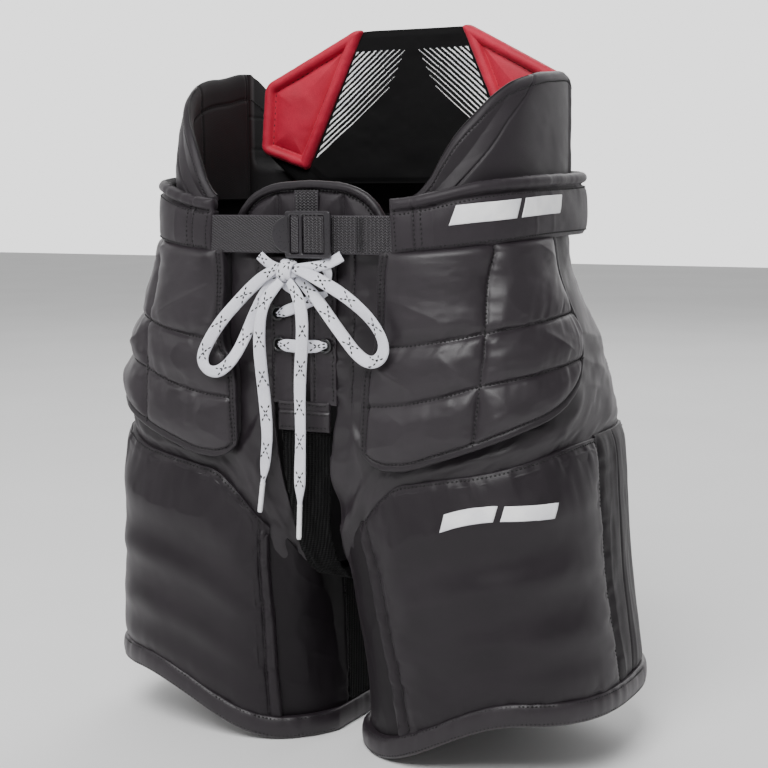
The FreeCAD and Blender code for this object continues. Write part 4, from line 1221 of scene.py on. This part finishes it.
hb = 0.9 * vnoise(U[:, None] * 3.0, t[None] / 14, seed=141) + 0.9 * np.exp(-(1 - np.abs(U[:, None])) * 5) * vnoise(U[:, None] * 2, t[None] / 5.0, seed=142)
bow = 1.6 * (1 - U[:, None] ** 2) + hb
F = np.stack([U[:, None] * W[None] + 0 * bow, gy[None] + ny[None] * bow, gz[None] + nz[None] * bow], -1)
B = np.stack([U[:, None] * W[None] + 0 * bow, gy[None] - ny[None] * 1.4 + 0 * bow, gz[None] - nz[None] * 1.4 + 0 * bow], -1)
o = shell_mesh("crotch_gusset_knit", F, B, [KNIT, LINING], -1, 1, 0)
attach(o, "trunk")
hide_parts("crotch_gusset")

eb = BACK_EDGE[np.argsort(BACK_EDGE[:, 2])]
xs2, zs2 = np.linspace(-5.5, 5.5, 14), np.linspace(246, 372, 64)
yb = lambda X, Z: np.interp(Z, eb[:, 2], eb[:, 1])
o, F = box_patch("seat_seam_tape", xs2, zs2, lambda X, Z: yb(X, Z) - 1.1 + 0.25 * (X / 5.5) ** 2, lambda X, Z: yb(X, Z) + 0.25, [LINING, LINING])
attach(o, "trunk")

# ------------------------------------------------------------------ back guard
gcurve = lambda x: -0.00062 * x * x
CORE = rounded([(-43, 501.5), (43, 501.5), (120, 463), (124, 412), (111, 399.5), (96, 387), (-96, 387), (-111, 399.5), (-124, 412), (-120, 463)], 7, 5)
o, O = star_pad("guard_core", CORE, (0, 445),
                lambda x, z, d: gcurve(x) + 74.5 - 6.2 * np.sqrt(np.clip(1 - (1 - np.clip(d / 7.0, 0, 1)) ** 2, 0, 1)),
                lambda x, z, d: gcurve(x) + 74.5 + 6.4 * np.sqrt(np.clip(1 - (1 - np.clip(d / 7.0, 0, 1)) ** 2, 0, 1)) + 0.5 * fbm(x / 30, z / 26, seed=151) * ease(d / 9) - 0.8 * groove(d - 9, 1.1),
                [NEO, NYLON2], 46, 420)
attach(o, "back_guard")
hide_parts("guard_foam", "guard_backing")
inn = (CORE - np.array([0, 447])) * np.array([0.925, 0.84]) + np.array([0, 447])
inn = np.vstack([inn, inn[:1]])
stitches("back_guard", np.stack([inn[:, 0], gcurve(inn[:, 0]) + 80.6, inn[:, 1]], 1), np.tile([0, 1.0, 0], (len(inn), 1)), L=3, gap=1.7, r=0.4)

FACE = rounded([(-43, 500.5), (43, 500.5), (87, 400.5), (72, 389), (-72, 389), (-87, 400.5)], 4, 4)
HA = [(-1, -1), (1, 1)]


def face_front(x, z, d):
    dip = 0.9 * groove(np.abs(x) - 0.0, 0.01)
    return gcurve(x) + 67.4 - 1.6 * ease(d / 5) - 0.7 * fbm(x / 26, z / 22, seed=161) * ease(d / 8)


def hatch(x, z, d):
    # plain tapering slanted bars near both slanted borders
    ax = abs(x)
    edge = 43 + (500.5 - z) * 0.44          # slanted border
    t = edge - ax - 4.0
    if t < 0 or z > 486 or z + (ax - edge) * 1.3 < 403:
        return 0
    s = (z + (ax - edge) * 1.3) % 6.2
    reach = 20 + 20 * ease((z - 408) / 60)
    if t > reach:
        return 0
    wide = 2.3 * (1 - t / reach) + 0.6
    return 2 if s < wide else 0


o, O = star_pad("guard_face_panel", FACE, (0, 445), face_front, lambda x, z, d: gcurve(x) + 68.6 + 0 * d, [NEO, NEO, PRINT], 150, 760, fm=hatch)
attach(o, "back_guard")
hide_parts("guard_face")
for nm, sd in SIDES:
    K_ = rounded([(sd * 40, 501.5), (sd * 46.5, 501.8), (sd * 120.5, 463.6), (sd * 124.5, 412.2), (sd * 88.5, 399.2), (sd * 85.5, 401)], 7, 5)

    def kf(x, z, d):
        rim = np.sqrt(np.clip(1 - ((d - 4.4) / 4.4) ** 2, 0, 1)) * (d < 8.8)
        inner = 3.4 * (1 - np.exp(-np.maximum(d - 8.8, 0) / 5.0))
        return gcurve(x) + 67.6 - np.where(d < 8.8, 5.6 * rim, 0.6 + inner + 0.35 * fbm(x / 18, z / 18, seed=171 + sd)) - 0.35 * np.exp(-d / 6) * vnoise((x + z) / 6, (x - z) / 6, seed=172)
    o, O = star_pad("guard_pad_%s_knit" % nm, K_, (sd * 90, 447), kf, lambda x, z, d: gcurve(x) + 68.0 + 0 * d, [RED, RED], 60, 420)
    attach(o, "back_guard")
    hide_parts("guard_pad_" + nm)
    c = np.array([sd * 90, 447.0])
    u = (c - O) / np.linalg.norm(c - O, axis=1, keepdims=True)
    q = O + u * 8.8
    for _ in range(6):
        q = q + u * (8.8 - dist_poly(q, O[::3]))[:, None]
    q = np.vstack([q, q[:1]])
    stitches("back_guard", np.stack([q[:, 0], gcurve(q[:, 0]) + 66.9, q[:, 1]], 1), np.tile([0, -1.0, 0], (len(q), 1)), L=2.9, gap=1.5, r=0.55)

# ------------------------------------------------------------------ hip wings
WTL = np.array([(-82, 381), (-73, 382), (-65.6, 391.6), (-59.5, 406), (-52.4, 420), (-42, 433.5), (-31.4, 445), (-19, 454), (-8, 459), (4, 463), (13, 464), (20, 460), (25, 454)], float)
WTR = np.array([(-82, 381), (-73, 382), (-65.6, 391.6), (-59.5, 406), (-52.4, 420), (-42, 433.5), (-31.4, 445), (-19, 455), (-8, 461.5), (4, 467), (13, 470.5), (20, 471), (28, 468), (34, 463), (42, 453), (47, 448)], float)
BEV = np.array([(378, -60), (384, -55.5), (396, -46.8), (411, -36.1), (429, -25.5), (445, -14.1), (457, -7.4), (470, -1)], float)
for nm, sd in SIDES:
    WT = WTL if sd > 0 else WTR
    p = Patch(sd, -72.5, 24.0 if sd > 0 else 46.0, 377.5, lambda th, x: pchip(WT[:, 0], WT[:, 1], th), 220, 110, 0.3, 0.35, 420)
    P0, P1 = p.at(0 * p.th), p.at(0 * p.th + 1.0)
    nx = np.maximum(np.abs(P1[..., 0] - P0[..., 0]), 0.3)
    flare = np.clip((129.6 - np.abs(P0[..., 0])) / nx, -3.6, 18)
    ed = np.minimum(np.minimum(p.d0, p.d1), p.e1)
    rim_o = 4.6 * (1 - np.sqrt(np.clip(1 - (1 - np.clip(ed / 7.0, 0, 1)) ** 2, 0, 1)))
    bord = 14.0
    out = -0.2 - rim_o + 1.0 * (1 - np.exp(-np.maximum(ed - bord, 0) / 9)) * 1.2 - 0.9 * groove(ed - bord, 1.2) + 0.5 * fbm(p.a / 34, p.z / 26, seed=181 + sd) * ease(ed / 9)
    rim_i = 4.0 * (1 - np.sqrt(np.clip(1 - (1 - np.clip(ed / 10.0, 0, 1)) ** 2, 0, 1)))
    ins = -9.4 + rim_i - 0.8 * (1 - np.exp(-np.maximum(ed - 18, 0) / 8)) + 0.9 * groove(ed - 19, 1.3)
    thin = ease((p.th - 15.0) / 3.0)
    go = (ease((p.th - 19.0) / 7.0) * ease((p.z - 397) / 13)) if sd < 0 else 0 * p.th
    ins = ins * (1 - thin) + (-3.6 + 0.0 * ins) * thin + 1.0 * groove(p.a - p.a_of_theta(lambda z: np.full_like(z, 14.5)), 1.2)
    ins = ins * (1 - go) + flare * go
    band = np.minimum(np.abs(p.z - 415), np.abs(p.z - 439))
    ins = ins + 0.8 * groove(band, 1.0) * thin
    out = out + 1.2 * thin
    db = p.a - p.a_of_theta(lambda z: np.interp(z, BEV[:, 0], BEV[:, 1]))
    slope = np.minimum(0.15 * np.maximum(-db, 0), 3.6)
    out = -0.2 - rim_o + 1.0 * (1 - np.exp(-np.maximum(db, 0) / 7)) - slope - 1.0 * groove(db + 1.0, 1.2) + 0.5 * fbm(p.a / 40, p.z / 30, seed=181 + sd) * ease(ed / 9) - 0.5 * groove(ed - 6.5, 1.0) + 1.2 * thin
    out = out * (1 - go) + (flare + 3.4) * go
    ins = ins - 0.35 * slope
    ins = ins + 0.9 * groove(p.a - p.a_of_theta(lambda z: np.full_like(z, -12.0)), 1.1) * (p.z > 385)
    F, B = p.at(out), p.at(ins)
    o = shell_mesh("wing_" + nm, F, B, [WINGM, LINING], sd, 1, 0)
    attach(o, "hip_wing_" + nm)
    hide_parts("wing_cover_" + nm, "wing_foam_" + nm)
    for val in (6.5,):
        sew("hip_wing_" + nm, F, line_d(p, p.e1, val, 1, 8, -8), sd, **ST1)
    sew("hip_wing_" + nm, B, line_d(p, p.e1, 19, 1, 20, -8), -sd, **ST1)
    sew("hip_wing_" + nm, B, line_theta(p, lambda z: np.full_like(z, -12.0), 8, -12), -sd, **ST1)

# ------------------------------------------------------------------ laces: free cords on their own NURBS lines
LACES = {
    "lace_loop_right": [(-.0118, -.1074, .3360), (-.0222, -.1085, .3295), (-.0310, -.1095, .3223), (-.0403, -.1110, .3130), (-.0530, -.1130, .2996),
                        (-.0627, -.1140, .2859), (-.0686, -.1140, .2745), (-.0661, -.1135, .2664), (-.0576, -.1125, .2642), (-.0486, -.1110, .2706),
                        (-.0416, -.1096, .2804), (-.0360, -.1080, .2920), (-.0304, -.1070, .3046), (-.0244, -.1058, .3161), (-.0186, -.1042, .3252), (-.0118, -.1028, .3305)],
    "lace_loop_left": [(-.0008, -.1066, .3350), (.0090, -.1085, .3328), (.0226, -.1100, .3270), (.0368, -.1120, .3206), (.0503, -.1140, .3126),
                       (.0615, -.1150, .3034), (.0683, -.1150, .2936), (.0696, -.1140, .2850), (.0651, -.1130, .2782), (.0568, -.1120, .2762),
                       (.0476, -.1110, .2817), (.0384, -.1100, .2914), (.0291, -.1090, .3019), (.0199, -.1070, .3118), (.0108, -.1048, .3204), (-.0006, -.1026, .3286)],
    "lace_end_right": [(-.0090, -.1086, .3265), (-.0155, -.1116, .3195), (-.0208, -.1126, .3100), (-.0234, -.1126, .2980), (-.0243, -.1122, .2840),
                       (-.0234, -.1112, .2680), (-.0224, -.1096, .2510), (-.0221, -.1076, .2336), (-.0232, -.1052, .2165), (-.0284, -.1032, .1910)],
    "lace_end_left": [(-.0030, -.1086, .3265), (.0036, -.1118, .3205), (.0080, -.1128, .3110), (.0093, -.1128, .2990), (.0084, -.1124, .2850),
                      (.0066, -.1116, .2690), (.0052, -.1104, .2520), (.0044, -.1086, .2350), (.0030, -.1064, .2175), (.0012, -.1046, .1990), (.0001, -.1032, .1784)],
}
LW = 8.2


def nurbs_line(name, pts):
    cu = bpy.data.curves.new(name + "_line", "CURVE")
    cu.dimensions = "3D"
    cu.resolution_u = 12
    sp = cu.splines.new("NURBS")
    sp.points.add(len(pts) - 1)
    for q, c in zip(sp.points, pts):
        q.co = (*c, 1)
    sp.order_u = 3
    sp.use_endpoint_u = True
    o = bpy.data.objects.new(name + "_line", cu)
    COL.objects.link(o)
    me = bpy.data.meshes.new_from_object(o.evaluated_get(bpy.context.evaluated_depsgraph_get()))
    bpy.data.objects.remove(o)
    P = np.array([tuple(v.co) for v in me.vertices])
    bpy.data.meshes.remove(me)
    return P


def flat_lace(name, P, wide, thick, nrm, taper=None, tracer=True, phase=0.0):
    """woven flat lace with its dark dashed tracer; P in mm"""
    seg = np.concatenate([[0], np.cumsum(np.linalg.norm(np.diff(P, axis=0), axis=1))])
    n = int(seg[-1] / 0.7)
    t = np.linspace(0, seg[-1], n)
    pts = np.stack([np.interp(t, seg, P[:, k]) for k in range(3)], 1)
    nn = np.stack([np.interp(t, seg, nrm[:, k]) for k in range(3)], 1) if np.ndim(nrm) == 2 else np.tile(nrm, (n, 1))
    w = np.full(n, float(wide)) if taper is None else wide * taper(t / seg[-1])
    V, f, b, m, tt = ribbon(name, pts, nn, w, thick, [LACE], K=15, crown=0.35)
    R = 2 * 15 - 2
    V = V.reshape(n, R, 3)
    q = np.linspace(-1, 1, 15)
    # braid relief on both faces
    for k in range(R):
        qq = q[k] if k < 15 else q[R - k]
        s_ = 1 if k < 15 else -1
        x = qq * wide / 2
        rel = 0.16 * np.sin((t + np.abs(x) * 1.1) * 2 * math.pi / 2.1) * (1 - abs(qq) ** 6)
        V[:, k] += m * (s_ * rel)[:, None]
    o = mesh_obj(name, V.reshape(-1, 3), f, [LACE, THREAD])
    if tracer:
        vs, fs = [], []
        for sgn in (1, -1):
            for face in (1, -1):
                k = 0.0
                while k < seg[-1] - 2.2:
                    a0 = k
                    k += 2.9
                    ss = np.linspace(a0, a0 + 1.8, 4)
                    lam = 25.0
                    q0 = ((a0 + phase) / lam + (0.5 if face < 0 else 0.0)) % 1
                    if q0 > 0.46:
                        continue
                    tri = lambda s: 1 - 2 * ((((s + phase) / lam + (0.5 if face < 0 else 0.0)) % 1) / 0.5)
                    amp = (np.interp(ss, t, w) / 2 - 0.9) * np.clip(tri(ss), -1, 1) * sgn
                    c = np.stack([np.interp(ss, t, pts[:, j]) for j in range(3)], 1)
                    bb = np.stack([np.interp(ss, t, b[:, j]) for j in range(3)], 1)
                    mm2 = np.stack([np.interp(ss, t, m[:, j]) for j in range(3)], 1)
                    cen = c + bb * amp[:, None] + mm2 * (face * (thick / 2 + 0.02) + 0.35 * (1 - (amp / (wide / 2)) ** 2))[:, None]
                    dcen = np.gradient(cen, axis=0)
                    dcen /= np.linalg.norm(dcen, axis=1, keepdims=True)
                    side_ = np.cross(dcen, mm2)
                    base = len(vs)
                    hw_, th_ = 0.52, 0.28
                    for q3 in range(4):
                        e_ = 0.55 if q3 in (0, 3) else 1.0
                        vs += [cen[q3] + side_[q3] * hw_ * e_, cen[q3] + mm2[q3] * face * th_ * e_, cen[q3] - side_[q3] * hw_ * e_, cen[q3] - mm2[q3] * face * th_]
                    for q3 in range(3):
                        for w4 in range(4):
                            a, b2 = base + q3 * 4 + w4, base + q3 * 4 + (w4 + 1) % 4
                            fs.append((a, b2, b2 + 4, a + 4) if face > 0 else (a, a + 4, b2 + 4, b2))
                    e1_, e2_ = (base, base + 3, base + 2, base + 1), (base + 12, base + 13, base + 14, base + 15)
                    fs.append(e1_ if face > 0 else e1_[::-1])
                    fs.append(e2_ if face > 0 else e2_[::-1])
        tr = mesh_obj(name + "_tr", vs, fs, [THREAD], smooth=False)
        o2 = join(name + "_j", [o, tr])
        o2.name = name
        o2.data.name = name
        return o2
    return o


lace_paths = {}
AG = {"right": ((-28.4, -103.2, 191.0), (-31.8, -102.2, 170.2)), "left": ((0.1, -103.2, 178.4), (-1.2, -102.6, 154.6))}
for nm in ("right", "left"):
    a, b = np.array(AG[nm][0]), np.array(AG[nm][1])
    t = np.linspace(0, 1, 40)
    pts = a + (b - a) * t[:, None]
    r = 1.75 + 0.0 * t
    r = np.where(t > 0.96, 1.5, r)
    body = tube_mesh("ag1", pts, r, [AGL], 16)
    ring2 = tube_mesh("ag2", pts[1:3] + (b - a) * 0.01, 1.9, [AGL], 16)
    o = join("lace_tip_" + nm, [body, ring2])
    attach(o, "trunk")
    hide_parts("aglet_" + nm)
    AG[nm] = o
for k, (nm, route) in enumerate(LACES.items()):
    P = nurbs_line(nm, route)
    lace_paths[nm] = P
    Pm = P * 1000
    n = len(Pm)
    u = np.linspace(0, 1, n)
    base = np.tile([0.30, -0.95, 0.05], (n, 1))
    tw = (48 if "loop" in nm else 34) * np.sin(u * math.pi * (2.6 if "loop" in nm else 2.4) + k * 1.7)
    nr_ = np.stack([0.30 + 0.6 * np.sin(np.radians(tw)), -0.95 + 0 * u, 0.05 + 0.25 * np.sin(np.radians(tw * 1.3))], 1)
    if "loop" in nm:
        tp_ = lambda s: 1 - 0.30 * np.exp(-(s / 0.05) ** 2) - 0.30 * np.exp(-((1 - s) / 0.05) ** 2)
    else:
        tp_ = lambda s: 1 - 0.25 * np.exp(-(s / 0.05) ** 2) - 0.6 * np.exp(-((1 - s) / 0.06) ** 2)
    o = flat_lace(nm + "_braid", Pm, LW, 1.5, nr_, taper=tp_, phase=k * 7.0)
    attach(o, "trunk")
    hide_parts(nm)
    L = float(np.sum(np.linalg.norm(np.diff(P, axis=0), axis=1)))

# knot: wraps of the same lace
def wrap(name, c, rx, rz, ry, tilt, wide, turns=1.0, a0=0.0, n=60, thick=1.5):
    a = np.linspace(a0, a0 + turns * 2 * math.pi, n)
    x, z = rx * np.cos(a), rz * np.sin(a)
    ct, st_ = math.cos(tilt), math.sin(tilt)
    return a, x, z


kn = []
kc = np.array([-6.6, -106.0, 332.8])
for i, (ang, lenx, wid, yy, off) in enumerate([(62, 12.5, 8.0, 1.7, (-1.0, 0.4)), (-34, 12.0, 7.6, 0.6, (0.4, 1.6)), (18, 13.0, 7.4, -0.3, (0.0, -2.2)), (78, 11.0, 6.8, 2.3, (2.4, 0.6))]):
    ca, sa = math.cos(math.radians(ang)), math.sin(math.radians(ang))
    s = np.linspace(-1, 1, 30)
    along = lenx / 2 * np.sin(s * math.pi / 2)
    dep = -(yy + 1.6) * np.cos(s * math.pi / 2 * 0.98) ** 0.8 + 3.4 * np.abs(s) ** 3
    P = np.stack([kc[0] + off[0] + ca * along, kc[1] + dep, kc[2] + off[1] + sa * along], 1)
    tn = np.gradient(P, axis=0)
    bb = np.cross(tn, np.tile([-sa, 0, ca], (30, 1)))
    bb /= np.linalg.norm(bb, axis=1, keepdims=True)
    if bb[15, 1] > 0:
        bb = -bb
    kn.append(flat_lace("kn%d" % i, P, wid, 1.5, bb, phase=i * 5.0))
core = tube_mesh("kn_core", [(-12.5, -104.4, 331), (-8.5, -105, 333.4), (-4.6, -105, 333.2), (-1.0, -104.4, 331.6)], [2.2, 4.6, 4.6, 2.2], [LACE], 20, squash=0.7)
o = join("lace_knot_wraps", kn + [core])
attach(o, "trunk")
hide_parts("lace_knot")

# crossings between the eyelets, and the strands up to the knot
def bar(name, a, b, wide, sag=0.0, y=-99.4, n=30, ph=0.0):
    t = np.linspace(0, 1, n)
    x, z = a[0] + (b[0] - a[0]) * t, a[1] + (b[1] - a[1]) * t - sag * np.sin(math.pi * t)
    yy = y - 0.7 * np.sin(math.pi * t) + 2.0 * (np.exp(-t / 0.06) + np.exp(-(1 - t) / 0.06))
    return flat_lace(name, np.stack([x, yy, z], 1), wide, 1.3, np.tile([0.0, -1.0, 0.0], (n, 1)), taper=lambda s: 1 - 0.55 * np.exp(-(s / 0.12) ** 2) - 0.55 * np.exp(-((1 - s) / 0.12) ** 2), phase=ph)


def arc3(name, pts, wide, ph):
    P = nurbs_line(name, [tuple(c * MM for c in q) for q in pts]) * 1000
    return flat_lace(name, P, wide, 1.3, np.tile([0.1, -0.98, 0.15], (len(P), 1)), phase=ph)


o = join("lace_bars", [bar("b1", (-18.3, 284), (18.3, 284.5), 8.6, 1.0, -98.9), bar("b2", (-18.8, 303.7), (19.2, 318.6), 7.8, 0.8, -99.4, ph=5), bar("b3", (-13, 325), (-2.4, 319.2), 6.8, 0.2, -99.6, 16, ph=9),
                       arc3("a1", [(-30, -100.6, 342.6), (-25, -101.6, 338.8), (-18, -103.4, 335.6), (-9, -105.2, 333.6)], 6.6, 3.0),
                       arc3("a2", [(32, -100.6, 343.2), (25, -102.2, 338.6), (14, -104.2, 335.8), (-2, -105.4, 334.0)], 7.4, 15.0),
                       arc3("a3", [(17, -102.8, 338.8), (21.0, -102.6, 335.8), (22.6, -101.0, 331.0), (19.6, -98.8, 326.6)], 6.4, 9.0)])
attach(o, "trunk")
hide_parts("lace_crossings")

# ------------------------------------------------------------------ stitches, one mesh per body
for (body, key), (vs, fs) in STITCH.items():
    o = mesh_obj("stitch_%s_%s" % (body, key), np.concatenate(vs), fs, [THREAD if key == "dark" else THREADL])
    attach(o, body)

# ------------------------------------------------------------------ finish on the solids that stay
KEEP = {"hip_foam": FOAM, "hip_plate": PEM, "thigh_foam": FOAM, "thigh_plate": PEM, "seat_pad": FOAM}
for nm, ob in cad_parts.items():
    m = next((v for k, v in KEEP.items() if nm.startswith(k)), NYLON2)
    if ob.data and hasattr(ob.data, "materials"):
        if len(ob.material_slots) == 0:
            ob.data.materials.append(m)
        for s_ in ob.material_slots:
            s_.material = m

# ------------------------------------------------------------------ camera, floor, light
CAM_AZ, CAM_P, CAM_D, CAM_H, CAM_ROLL = math.radians(28.0), math.radians(7.1), 1.160, 0.393, math.radians(-0.35)
cd = bpy.data.cameras.new("camera")
cam = bpy.data.objects.new("camera", cd)
COL.objects.link(cam)
fwd = Vector((-math.sin(CAM_AZ) * math.cos(CAM_P), math.cos(CAM_AZ) * math.cos(CAM_P), -math.sin(CAM_P)))
right = Vector((math.cos(CAM_AZ), math.sin(CAM_AZ), 0))
up = right.cross(fwd)
cr, sr = math.cos(CAM_ROLL), math.sin(CAM_ROLL)
r2 = right * cr + up * sr
u2 = r2.cross(fwd)
R = Matrix((r2, u2, -fwd)).transposed()
cam.matrix_world = Matrix.Translation((math.sin(CAM_AZ) * CAM_D, -math.cos(CAM_AZ) * CAM_D, CAM_H)) @ R.to_4x4()
cd.sensor_width = 36
cd.lens = 1639 / 768 * 36
cd.shift_x = 12 / 768
cd.shift_y = -2 / 768
cd.clip_end = 50
bpy.context.scene.camera = cam

fm_, nt, b, co = new_mat("floor_paper")
n = noise_node(nt, co, 3, 2, 0.5)
nt.links.new(ramp(nt, n, [(0.3, (0.86, 0.86, 0.86)), (0.7, (0.9, 0.9, 0.9))]), b.inputs["Base Color"])
b.inputs["Roughness"].default_value = 0.9
fl = mesh_obj("floor", [(-6000, -6000, -0.3), (6000, -6000, -0.3), (6000, 6000, -0.3), (-6000, 6000, -0.3)], [(0, 1, 2, 3)], [fm_], smooth=False)


def area(name, loc, aim, size, power, sy=None):
    l = bpy.data.lights.new(name, "AREA")
    l.shape = "RECTANGLE"
    l.size, l.size_y = size, sy or size
    l.energy = power
    o = bpy.data.objects.new(name, l)
    COL.objects.link(o)
    o.location = loc
    o.rotation_euler = (Vector(aim) - Vector(loc)).to_track_quat("-Z", "Y").to_euler()
    return o


area("key", (0.35, -1.9, 2.4), (0, 0, 0.25), 1.5, 92)
area("fill_left", (-2.2, -1.6, 1.5), (0, 0, 0.25), 1.3, 14)
area("fill_right", (2.5, -0.6, 1.5), (0, 0, 0.25), 1.2, 6, 1.8)
area("rim", (-0.3, 2.3, 2.2), (0, 0, 0.35), 1.6, 26)
w = bpy.data.worlds.new("studio")
bpy.context.scene.world = w
w.use_nodes = True
wn = w.node_tree
wc = wn.nodes.new("ShaderNodeTexCoord")
ws = wn.nodes.new("ShaderNodeSeparateXYZ")
wn.links.new(wc.outputs["Generated"], ws.inputs[0])
wd = mathn(wn, "ADD", mathn(wn, "MULTIPLY", ws.outputs[0], -0.42), mathn(wn, "MULTIPLY", ws.outputs[1], 0.9))
bg = wn.nodes["Background"]
bg.inputs[0].default_value = (1, 1, 1, 1)
wn.links.new(maprange(wn, wd, 0.25, 0.9, 0.22, 1.9), bg.inputs[1])
